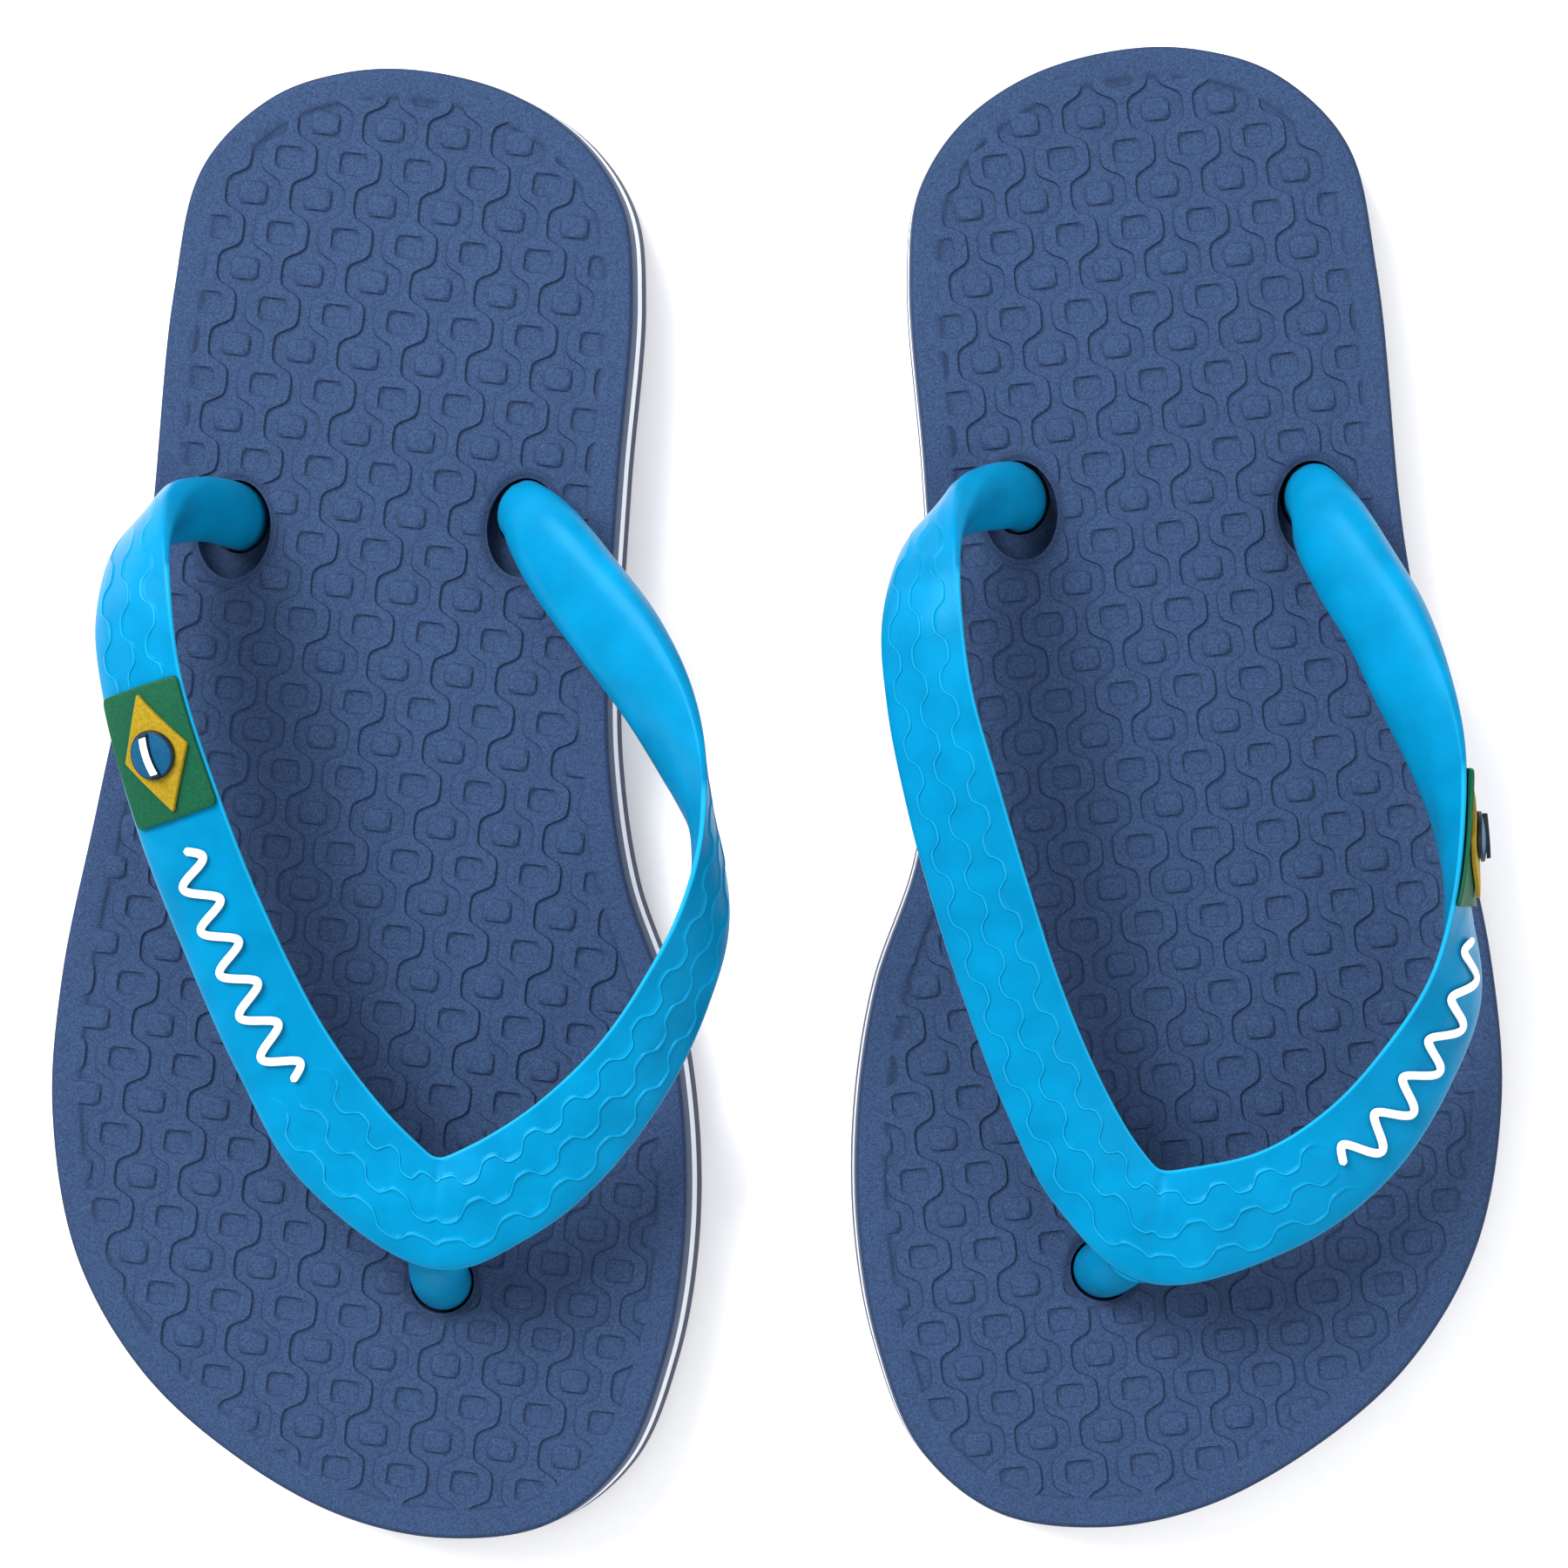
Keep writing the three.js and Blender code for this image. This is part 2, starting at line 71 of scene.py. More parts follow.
# %% Camera
SOLE_TOP = 14.0  # mm above the ground
camera_place = Vector((0.0305, 0.0015, 0.614))
camera_target = Vector((0.0017, 0.0015, SOLE_TOP * MM))
FIELD_WIDTH = 0.207  # metres across the picture, at the soles

camera_data = bpy.data.cameras.new("camera")
camera_data.sensor_width = 36
camera_data.lens = 36 * (camera_place - camera_target).length / FIELD_WIDTH
camera = bpy.data.objects.new("camera", camera_data)
backwards = (camera_place - camera_target).normalized()
rightwards = Vector((0, 1, 0)).cross(backwards).normalized()
upwards = backwards.cross(rightwards)
camera.matrix_world = Matrix.Translation(camera_place) @ Matrix(
    (rightwards, upwards, backwards)
).transposed().to_4x4()
scene = bpy.context.scene
scene.collection.objects.link(camera)
scene.camera = camera
scene.view_settings.view_transform = "Standard"
print("camera: lens", round(camera_data.lens, 1), "mm")

# %% Lamps and room


def add_lamp(name, place, size, watts):
    """A square soft lamp at a place, facing the middle of the pair."""
    lamp = bpy.data.lights.new(name, "AREA")
    lamp.size = size
    lamp.energy = watts
    lamp_object = bpy.data.objects.new(name, lamp)
    lamp_object.location = place
    lamp_object.rotation_euler = (-Vector(place)).to_track_quat("-Z", "Y").to_euler()
    scene.collection.objects.link(lamp_object)
    return lamp_object


add_lamp("window_lamp", (-0.55, 0.55, 0.85), 0.6, 24)
add_lamp("fill_lamp", (0.7, -0.2, 0.9), 0.9, 6)
room = bpy.data.worlds.new("pale_room")
scene.world = room
room.use_nodes = True
room.node_tree.nodes["Background"].inputs["Color"].default_value = (1, 1, 1, 1)
room.node_tree.nodes["Background"].inputs["Strength"].default_value = 0.88
print("lamps: 2, and a pale room")

# %% [markdown]
# ## A helper for materials
#
# A material is a small graph of nodes. Each of them is added the same way: its kind, its
# settings, and what goes into its sockets, either a value or another node's socket. Colours
# are written as on a paint card, in sRGB, and turned to the linear light values that the
# renderer works in.

# %% Material helpers


def linear(hex_colour):
    """An sRGB hex colour as linear RGBA: c/12.92 when dark, ((c+0.055)/1.055)^2.4 otherwise."""
    channels = np.array([int(hex_colour[i : i + 2], 16) for i in (1, 3, 5)]) / 255
    bright = ((channels + 0.055) / 1.055) ** 2.4
    return (*np.where(channels <= 0.04045, channels / 12.92, bright), 1.0)


def add(tree, kind, inputs=(), **settings):
    """Adds a node with its settings, and puts a value or a link into each named socket."""
    node = tree.nodes.new("ShaderNode" + kind)
    for name, value in settings.items():
        setattr(node, name, value)
    for name, value in dict(inputs).items():
        if isinstance(value, bpy.types.NodeSocket):
            tree.links.new(value, node.inputs[name])
        else:
            node.inputs[name].default_value = value
    return node


def new_material(name, roughness, **sockets):
    """A material with its main shader. Returns the material, its node tree and the shader."""
    material = bpy.data.materials.new(name)
    material.use_nodes = True
    tree = material.node_tree
    shader = tree.nodes["Principled BSDF"]
    shader.inputs["Roughness"].default_value = roughness
    for socket, value in sockets.items():
        shader.inputs[socket.replace("_", " ")].default_value = value
    return material, tree, shader


# Positions in a mix node's list of sockets, where several share one name.
MIX_SHARE, MIX_A, MIX_B, MIX_RESULT = 0, 6, 7, 2


def mix(tree, share, first, second):
    """The socket of a colour that goes from the first to the second as the share rises."""
    inputs = {MIX_SHARE: share, MIX_A: first, MIX_B: second}
    return add(tree, "Mix", inputs, data_type="RGBA").outputs[MIX_RESULT]


def spread(tree, value, low=0.0, high=1.0, to_low=0.0, to_high=1.0):
    """The socket of a value that is moved from the range low..high to another range."""
    inputs = {"Value": value, "From Min": low, "From Max": high, "To Min": to_low, "To Max": to_high}
    return add(tree, "MapRange", inputs).outputs["Result"]


def stored(tree, name, output="Fac"):
    """The socket of a value or vector that a piece's vertices carry."""
    return add(tree, "Attribute", attribute_name=name).outputs[output]


def bumps(tree, shader, height, strength, distance):
    """Gives the shader a fine surface from a height."""
    bump = add(tree, "Bump", {"Height": height, "Strength": strength, "Distance": distance})
    tree.links.new(bump.outputs["Normal"], shader.inputs["Normal"])


print("paint card's mid grey is", round(float(linear("#808080")[0]), 3), "in linear light")

# %% The floor
FLOOR_HALF = 12.0  # metres


def white_table():
    """Painted table top: matt white lacquer, with a trace of roller texture."""
    material, tree, shader = new_material("matt_white_lacquer", 0.6)
    where = add(tree, "TexCoord")
    roller = add(tree, "TexNoise", {"Vector": where.outputs["Object"], "Scale": 400.0})
    tint = mix(tree, roller.outputs["Fac"], linear("#f2f2f4"), linear("#f6f6f8"))
    tree.links.new(tint, shader.inputs["Base Color"])
    return material


corners = [(x * FLOOR_HALF, y * FLOOR_HALF, 0) for x, y in ((-1, -1), (1, -1), (1, 1), (-1, 1))]
floor_mesh = bpy.data.meshes.new("floor")
floor_mesh.from_pydata(corners, [], [(0, 1, 2, 3)])
floor_mesh.materials.append(white_table())
floor = bpy.data.objects.new("floor", floor_mesh)
floor.location.z = -0.0001
scene.collection.objects.link(floor)
print("floor:", 2 * FLOOR_HALF, "m square")

# %% [markdown]
# ## Curves, grids and solids
#
# Nearly every piece starts as points on a grid: rows along one parameter and columns along the
# other. Modelling by hand with extrudes would work too, but a formula keeps the sole's relief
# and the strap's lines exact. A closed body is a grid whose columns run round it and whose
# first and last rows shrink to a point. Cuts and joins then make one skin of several bodies.

# %% Smooth curves


def smooth_curve(points, shares, closed=False):
    """
    A centripetal Catmull-Rom curve through points, at shares from 0 to 1 of its spans.
    Each span is a cubic whose end slopes come from the neighbours, weighted by the
    square root of the distances between the points.
    """
    points = np.asarray(points, float)
    if closed:
        spans = len(points)
        ring = np.vstack([points[-1:], points, points[:2]])
    else:
        spans = len(points) - 1
        ring = np.vstack([2 * points[0] - points[1], points, 2 * points[-1] - points[-2]])
    at = np.clip(shares, 0, 1) * spans
    low = np.minimum(at.astype(int), spans - 1)
    t = (at - low)[:, None]
    a, b, c, d = (ring[low + k] for k in range(4))
    ab, bc, cd = (
        np.linalg.norm(end - start, axis=1)[:, None] ** 0.5
        for start, end in ((a, b), (b, c), (c, d))
    )
    leave = ((b - a) / ab - (c - a) / (ab + bc) + (c - b) / bc) * bc
    arrive = ((c - b) / bc - (d - b) / (bc + cd) + (d - c) / cd) * bc
    square, cube = t * t, t * t * t
    return (
        (2 * cube - 3 * square + 1) * b
        + (cube - 2 * square + t) * leave
        + (3 * square - 2 * cube) * c
        + (cube - square) * arrive
    )


def smoothstep(value, low, high):
    """0 below low, 1 above high, and 3t^2 - 2t^3 between them."""
    t = np.clip((value - low) / (high - low), 0, 1)
    return t * t * (3 - 2 * t)


def between(a, b, share):
    """The value that lies a share of the way from a to b."""
    return a + (b - a) * share


square = [(1, 1), (-1, 1), (-1, -1), (1, -1)]
bulge = smooth_curve(square, np.array([0.125]), closed=True)[0, 1]
print("a smooth curve bulges past a square's side by", round(bulge - 1, 3), "of half its width")

# %% Bodies from grids


def grid_quads(rows, columns, round_columns):
    """The four corners of each face of a grid. With round_columns, the last joins the first."""
    across = columns if round_columns else columns - 1
    row = np.arange(rows - 1)[:, None] * columns
    column = np.arange(across)[None, :]
    after = (column + 1) % columns
    quads = np.stack([row + column, row + after, row + columns + after, row + columns + column], -1)
    return quads.reshape(-1, 4)


def new_body(name, points, quads, rim=None):
    """
    A mesh object from millimetre points and quads, with doubles merged and faces outwards.
    rim says how near each point is to its piece's edge, from 0 to 1, for the material to read.
    """
    mesh = bpy.data.meshes.new(name)
    mesh.vertices.add(len(points))
    mesh.vertices.foreach_set("co", np.asarray(points, np.float32).ravel())
    mesh.loops.add(quads.size)
    mesh.loops.foreach_set("vertex_index", quads.astype(np.int32).ravel())
    mesh.polygons.add(len(quads))
    mesh.polygons.foreach_set("loop_start", np.arange(0, quads.size, 4, dtype=np.int32))
    mesh.update(calc_edges=True)
    if rim is not None:
        mesh.attributes.new("rim", "FLOAT", "POINT").data.foreach_set("value", rim)
    tidy = bmesh.new()
    tidy.from_mesh(mesh)
    bmesh.ops.remove_doubles(tidy, verts=tidy.verts, dist=1e-4)
    bmesh.ops.recalc_face_normals(tidy, faces=tidy.faces)
    tidy.to_mesh(mesh)
    tidy.free()
    body = bpy.data.objects.new(name, mesh)
    scene.collection.objects.link(body)
    return body


def closed_body(name, rows, rims=None):
    """A closed body from rows of ring points. The first and last rows may each be one point."""
    count = max(len(row) for row in rows)
    points = np.concatenate([np.broadcast_to(row, (count, 3)) for row in rows])
    if rims is not None:
        rims = np.concatenate([np.broadcast_to(rim, count) for rim in rims]).astype(np.float32)
    return new_body(name, points, grid_quads(len(rows), count, True), rims)


def combine(body, operation, tools):
    """Cuts the tools from a body, joins them to it or keeps what they share, as one skin."""
    for tool in tools:
        step = body.modifiers.new(operation, "BOOLEAN")
        step.operation = operation
        step.object = tool
        step.solver = "MANIFOLD"
    graph = bpy.context.evaluated_depsgraph_get()
    result = bpy.data.meshes.new_from_object(body.evaluated_get(graph))
    body.modifiers.clear()
    body.data = result
    for tool in tools:
        bpy.data.objects.remove(tool)
    return body


def oval_tool(place, size_x, size_y, bottom, top, steps=72):
    """An upright oval post for a cut: x = a cos t, y = b sin t."""
    turn = np.linspace(0, 2 * np.pi, steps, endpoint=False)
    ring = np.stack([
        place[0] + size_x / 2 * np.cos(turn), place[1] + size_y / 2 * np.sin(turn), 0 * turn,
    ], 1)
    low, high = ring + [0, 0, bottom], ring + [0, 0, top]
    return closed_body("cut", [low.mean(0)[None], low, high, high.mean(0)[None]])


print("helpers for curves, grids and cuts are ready")

# %% [markdown]
# ## Where each sandal stands
#
# A sandal is drawn in its own frame in millimetres: x runs to the inner side of the foot, y to
# the heel, and z up from the ground. The left one is the mirror image. Each is then turned out
# a little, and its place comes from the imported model: the drawn sole's box is laid over the box
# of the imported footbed.

# %% The sole's outline
SOLE_LENGTH = 193.0  # mm, heel to toe at the top edge
DRAWN_LENGTH = 193.2
LENGTHEN = SOLE_LENGTH / DRAWN_LENGTH
OUTLINE = np.array([
    (-1, 59.3), (11.5, 57.4), (21.5, 52), (27.9, 43.8), (30.4, 32), (31.2, 8), (32.4, -14),
    (34.2, -29), (38.2, -44.5), (45.2, -59.5), (49.6, -76), (51.3, -92), (50.4, -107),
    (46.4, -121.2), (37.5, -130.4), (24, -133.9), (10, -132.6), (-5, -126.4), (-18.5, -116.8),
    (-28.9, -102.7), (-34.4, -84), (-35.2, -66), (-33, -42), (-30.2, -10), (-30.6, 26),
    (-28.6, 43.5), (-20.5, 53.6), (-11, 58),
]) * [1, LENGTHEN]
OUTLINE_STEPS = 440
WALL_FLARE = 1.3  # mm that the wall's foot stands outside its top edge
outline = smooth_curve(OUTLINE, np.arange(OUTLINE_STEPS) / OUTLINE_STEPS, closed=True)
outline_middle = (outline.max(0) + outline.min(0)) / 2
outline_size = outline.max(0) - outline.min(0)
along_edge = np.roll(outline, -1, 0) - np.roll(outline, 1, 0)
inwards = np.stack([along_edge[:, 1], -along_edge[:, 0]], 1)
inwards /= np.linalg.norm(inwards, axis=1)[:, None]
print("outline:", outline_size.round(1), "mm")


def wall_ring(inset, height):
    """The outline at a height, scaled out by the wall's flare and moved inwards by an inset."""
    flare = WALL_FLARE * (SOLE_TOP - height) / SOLE_TOP
    spread = 1 + 2 * flare / outline_size
    ring = outline_middle + (outline - outline_middle) * spread + inwards * inset
    return np.column_stack([ring, np.full(len(ring), float(height))])


# %% Placing the two sandals
TOE_OUT = math.radians(6.5)
FOOTBED_BOTTOM = 8.5


def turned(points, side):
    """Local points seen in the row's directions: mirrored for the left, then turned about z."""
    turn = -side * TOE_OUT
    x, y = side * points[..., 0], points[..., 1]
    flat = [x * math.cos(turn) - y * math.sin(turn), x * math.sin(turn) + y * math.cos(turn)]
    return np.stack([*flat, points[..., 2]], -1)


def standing_place(name, side):
    """The sandal's own origin in the row frame, in mm, from the box of its packed footbed."""
    edges = np.vstack([wall_ring(0, FOOTBED_BOTTOM), wall_ring(0, SOLE_TOP)])
    drawn = turned(edges, side)
    boxes = [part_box(f"{name}_footbed_{half}") for half in ("heel", "toe")]
    low = np.min([box[0] for box in boxes], 0) / MM
    high = np.max([box[1] for box in boxes], 0) / MM
    place = (low + high) / 2 - (drawn.min(0) + drawn.max(0)) / 2
    return np.array([place[0], place[1], 0.0])


SIDES = {"right": 1, "left": -1}
places = {name: standing_place(name, side) for name, side in SIDES.items()}
for name, place in places.items():
    print(name, "sandal stands at", place.round(2), "mm")


def to_row(points, name):
    """Local millimetres of a sandal as metres in the row frame."""
    return (turned(np.asarray(points, float), SIDES[name]) + places[name]) * MM


# %% [markdown]
# ## Finishing a piece
#
# Every piece is made in its sandal's own millimetres, keeps those as a vertex attribute for its
# material, and is then moved into the row frame. Patterns read the attribute, so both sandals
# wear the same material and nothing slides when the sole bends. Three things cross the line
# where the toes bend, the sole, the strap and the print; they stay fixed in the row frame. The
# emblem lies behind that line and rides on the heel's body.


def local_points(body):
    """A body's vertices as an array of millimetres."""
    points = np.empty(len(body.data.vertices) * 3, np.float32)
    body.data.vertices.foreach_get("co", points)
    return points.reshape(-1, 3).astype(float)


def store(body, name, values, kind="FLOAT"):
    """Keeps one value or one vector for each vertex, for the material to read."""
    key = "value" if kind == "FLOAT" else "vector"
    layer = body.data.attributes.new(name, kind, "POINT")
    layer.data.foreach_set(key, np.asarray(values, np.float32).ravel())


def finish_piece(body, sandal, part, material, replaced, crease=35):
    """Names a piece, gives it its material and attributes, and moves it into the row frame."""
    points = local_points(body)
    store(body, "own_mm", points, "FLOAT_VECTOR")
    mesh = body.data
    mesh.vertices.foreach_set("co", to_row(points, sandal).astype(np.float32).ravel())
    if SIDES[sandal] < 0:
        mesh.flip_normals()
    mesh.polygons.foreach_set("use_smooth", np.ones(len(mesh.polygons), bool))
    mesh.set_sharp_from_angle(angle=math.radians(crease))
    mesh.materials.clear()
    mesh.materials.append(material)
    mesh.update()
    body.name = mesh.name = f"{sandal}_{part}"
    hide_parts(*replaced)
    triangles = sum(len(face.vertices) - 2 for face in mesh.polygons)
    print(body.name, triangles, "triangles")
    return body


def both_halves(sandal, layer):
    """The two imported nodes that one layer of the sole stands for."""
    return [f"{sandal}_{layer}_{half}" for half in ("heel", "toe")]


def bends(body):
    """Bakes the piece's place into its points; it follows neither the heel's nor the toe's body."""
    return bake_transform(body)


# %% [markdown]
# ## The moulded relief of the footbed
#
# The foam is pressed against an engraved plate. Its relief has two levels: raised chains of
# eight-sided cells run along the foot, the ground between them has the same shape half a cell
# further on, and a small rounded block sits in each cell, sunk in the raised ones and standing
# in the low ones. It could be a displacement texture on a fine mesh, but steps need sharp edges,
# so the grid's own columns follow the chains' edges, and each step lies between two of them.

# %% The relief's measures
CELL_ACROSS, CELL_ALONG = 8.62, 10.12  # mm between the cells' middles
FIRST_CELL = (0.1, 25.6)
CHAIN_SWING = 0.17  # of the cell's width, that a chain's edge swings to each side
SWING_SHARPNESS = 2.3
BLOCK_ACROSS, BLOCK_ALONG = 3.6, 2.95
STEP_HEIGHT = 0.42
STEP_WIDTH = 0.26
RELIEF_MIDDLE = SOLE_TOP - 0.22
PLAIN_MARGIN = (3.4, 4.4)  # mm inside the outline, where the relief begins
HOLE_MARGIN = (0.8, 1.5)  # mm outside a hole, the same
LIP_DEPTH, LIP_REACH = 0.5, 0.5  # mm that the surface sinks at a hole, and how far from it


def chain_half_width(y):
    """Half a raised chain's width in cells: 1/4 plus a soft square wave, tanh(k cos) / tanh k."""
    turn = 2 * np.pi * (y - FIRST_CELL[1]) / CELL_ALONG
    wave = np.tanh(SWING_SHARPNESS * np.cos(turn)) / np.tanh(SWING_SHARPNESS)
    return 0.25 + CHAIN_SWING * wave


chain_ends = chain_half_width(np.array([FIRST_CELL[1], FIRST_CELL[1] + CELL_ALONG / 2]))
print("a chain is", (2 * CELL_ACROSS * chain_ends).round(2), "mm wide at its widest and narrowest")

# %% The relief's grid


def relief_rows():
    """Heights of the grid's rows along the foot: close together where a step crosses them."""
    block = BLOCK_ALONG / 2
    half = CELL_ALONG / 2
    near = [0, 0.75, block - STEP_WIDTH / 2, block + STEP_WIDTH / 2, 1.95, 2.3]
    half_cell = np.array([*near, *(half - np.array(near[::-1]))])
    cell = np.concatenate([half_cell, CELL_ALONG - half_cell[-2:0:-1]])
    cells = np.arange(-18, 6)[:, None] * CELL_ALONG
    rows = (cells + cell).ravel() + FIRST_CELL[1]
    return rows[(rows > -SOLE_LENGTH * 0.72) & (rows < SOLE_LENGTH * 0.34)]


def relief_columns(rows):
    """
    Sideways places of the grid's points, one row of them for each row of the grid.
    Between a chain's middle and its edge they lie at fixed shares of that distance.
    """
    half_block = BLOCK_ACROSS / 2
    widest = (0.25 + CHAIN_SWING) * CELL_ACROSS - STEP_WIDTH / 2
    shares = np.array([0.28, *((half_block + np.array([-1, 1]) * STEP_WIDTH / 2) / widest), 0.78, 1])
    chain = chain_half_width(rows)[:, None] * CELL_ACROSS
    raised = np.concatenate([-shares[::-1], [0], shares]) * (chain - STEP_WIDTH / 2)
    gap = CELL_ACROSS / 2 - chain - STEP_WIDTH / 2
    ground = np.concatenate([-shares[::-1], [0], shares]) * gap
    period = np.concatenate([raised, ground + CELL_ACROSS / 2], 1)
    cells = np.arange(-6, 7)[None, :, None] * CELL_ACROSS
    return (cells + period[:, None, :]).reshape(len(rows), -1) + FIRST_CELL[0]


BLOCK_CORNER = 0.7


def rounded_block(dx, dy):
    """1 inside a block and 0 outside, across a step: distance to a rounded rectangle."""
    reach_x = np.abs(dx) - BLOCK_ACROSS / 2 + BLOCK_CORNER
    reach_y = np.abs(dy) - BLOCK_ALONG / 2 + BLOCK_CORNER
    outside = np.hypot(np.maximum(reach_x, 0), np.maximum(reach_y, 0))
    distance = outside + np.minimum(np.maximum(reach_x, reach_y), 0) - BLOCK_CORNER
    return smoothstep(-distance, -STEP_WIDTH / 2, STEP_WIDTH / 2)


def relief_level(x, y):
    """The relief from -1 to 1: the chains' level, turned over inside each block."""
    across = (x - FIRST_CELL[0]) / CELL_ACROSS
    off_chain = np.abs(across - np.round(across))
    edge = (chain_half_width(y) - off_chain) * CELL_ACROSS
    level = 2 * smoothstep(edge, -STEP_WIDTH / 2, STEP_WIDTH / 2) - 1
    along = (y - FIRST_CELL[1]) / CELL_ALONG
    for shift in (0.0, 0.5):
        dx = (across - shift - np.round(across - shift)) * CELL_ACROSS
        dy = (along - shift - np.round(along - shift)) * CELL_ALONG
        level = level * (1 - 2 * rounded_block(dx, dy))
    return level


print("relief grid:", relief_columns(relief_rows()).shape, "rows and columns")

# %% Distances that the relief keeps
STEM_SIZE = (7.4, 8.8)
SLOT_SIZE = (9.8, 13.2)
SLOT_FLOOR = 1.5  # mm of foam left under each slot
STEM_CLEARANCE = 0.4
POST_DIAMETER = 7.7
PLUG_DIAMETER, PLUG_THICKNESS, PLUG_CLEARANCE, PLUG_HEIGHT = 14.0, 2.6, 0.5, 0.4
STEM_PLACES = {"outer": (-19, -2.2), "inner": (19.4, 2.3), "toe": (19.9, -100.1)}
PLUGS = {name: np.array([x, y * LENGTHEN]) for name, (x, y) in STEM_PLACES.items()}
slot_shift = (SLOT_SIZE[1] - STEM_SIZE[1]) / 2 - STEM_CLEARANCE
HOLES = [
    (PLUGS["outer"] - [0, slot_shift], SLOT_SIZE),
    (PLUGS["inner"] - [0, slot_shift], SLOT_SIZE),
    (PLUGS["toe"], (POST_DIAMETER + 2 * STEM_CLEARANCE,) * 2),
]


def outline_distance(x, y, height=SOLE_TOP):
    """Distance from each point to the nearest of the outline's points."""
    edge = wall_ring(0, height)[:, :2].astype(np.float32)
    flat = np.stack([x.ravel(), y.ravel()], 1).astype(np.float32)
    nearest = [
        np.sqrt(((part[:, None] - edge[None]) ** 2).sum(-1).min(1))
        for part in np.array_split(flat, 1 + len(flat) // 20000)
    ]
    return np.concatenate(nearest).reshape(x.shape)


def hole_distance(x, y):
    """Distance outside the nearest hole's edge: its oval radius less 1, times its mean radius."""
    reach = [
        (np.hypot((x - place[0]) / (a / 2), (y - place[1]) / (b / 2)) - 1) * (a + b) / 4
        for place, (a, b) in HOLES
    ]
    return np.min(reach, 0)


def slab(name, x, y, surface, other_height):
    """A closed block whose one face is a height field on a grid and the rest is flat."""
    face = np.stack([x, y, surface], -1)
    flat = np.stack([x, y, np.full_like(x, other_height)], -1)
    rim = [np.s_[0, :-1], np.s_[:-1, -1], np.s_[-1, :0:-1], np.s_[:0:-1, 0]]
    rows, columns = x.shape
    number = np.arange(rows * columns).reshape(rows, columns)
    loop = np.concatenate([number[part] for part in rim])
    count = rows * columns
    sides = np.stack([loop, np.roll(loop, -1), np.roll(loop, -1) + count, loop + count], 1)
    quads = grid_quads(rows, columns, False)
    points = np.concatenate([face.reshape(-1, 3), flat.reshape(-1, 3)])
    return new_body(name, points, np.concatenate([quads, quads[:, ::-1] + count, sides]))


print("holes:", [(place.round(1).tolist(), size) for place, size in HOLES], "mm")

# %% [markdown]
# ## The sole's three layers
#
# Each layer is a die-cut sheet of foam or rubber, glued to the next, with a rounded edge that
# leaves a dark seam between them. A trim block with that edge is made from rings of the outline,
# and what it shares with the relief block is the layer. The side stems, the toe post and the
# plugs need their slots, bores and recesses.

# %% Trim blocks
TRIM_MIDDLE = np.array([6.0, -38.0])


def trim_block(name, rows):
    """A closed block from (inset, height) pairs, with rings that shrink to its middle."""
    rings = [wall_ring(inset, height) for inset, height in rows]
    inner = np.linspace(0.92, 0, 14)[:, None, None]

    def cap(ring):
        middle = np.array([*TRIM_MIDDLE, ring[0, 2]])
        return list(middle + (ring - middle) * inner)

    return closed_body(name, [*cap(rings[0])[::-1], *rings, *cap(rings[-1])])


def edge_round(radius, wall_height, towards, stop=70, steps=5):
    """A rounded edge as (inset, height) pairs: a quarter circle that starts at the wall."""
    turn = np.radians(np.linspace(0, stop, steps))
    return [
        (radius * (1 - math.cos(t)), wall_height + towards * radius * math.sin(t)) for t in turn
    ]


FOOTBED_EDGE = 0.75
SLOPE_REACH = 4  # mm that a trim block's outer faces run past the layer's edge
SLOPE_RISE = 4 * math.tan(math.radians(20))
SEAM_EDGE = 0.3
MIDSOLE_BOTTOM = 4.5
PAST = 1.5  # mm that a cutting block reaches past the surface it trims


def layer_block(name, bottom, top):
    """A layer with small rounded edges above and below."""
    lower = edge_round(SEAM_EDGE, bottom + SEAM_EDGE, -1, 90)[::-1]
    upper = edge_round(SEAM_EDGE, top - SEAM_EDGE, 1, 90)
    heights = np.linspace(bottom + SEAM_EDGE, top - SEAM_EDGE, 4)[1:-1]
    return trim_block(name, [*lower, *((0, height) for height in heights), *upper])


print("the footbed's rounded edge takes", round(edge_round(FOOTBED_EDGE, 0, 1)[-1][0], 2), "mm")

# %% Footbed


def stem_tools(bottom, top):
    """Cutting posts for the two side stems and the toe post, with their clearance."""
    width, length = (size + 2 * STEM_CLEARANCE for size in STEM_SIZE)
    round_size = POST_DIAMETER + 2 * STEM_CLEARANCE
    return [
        oval_tool(PLUGS["outer"], width, length, bottom, top),
        oval_tool(PLUGS["inner"], width, length, bottom, top),
        oval_tool(PLUGS["toe"], round_size, round_size, bottom, top),
    ]


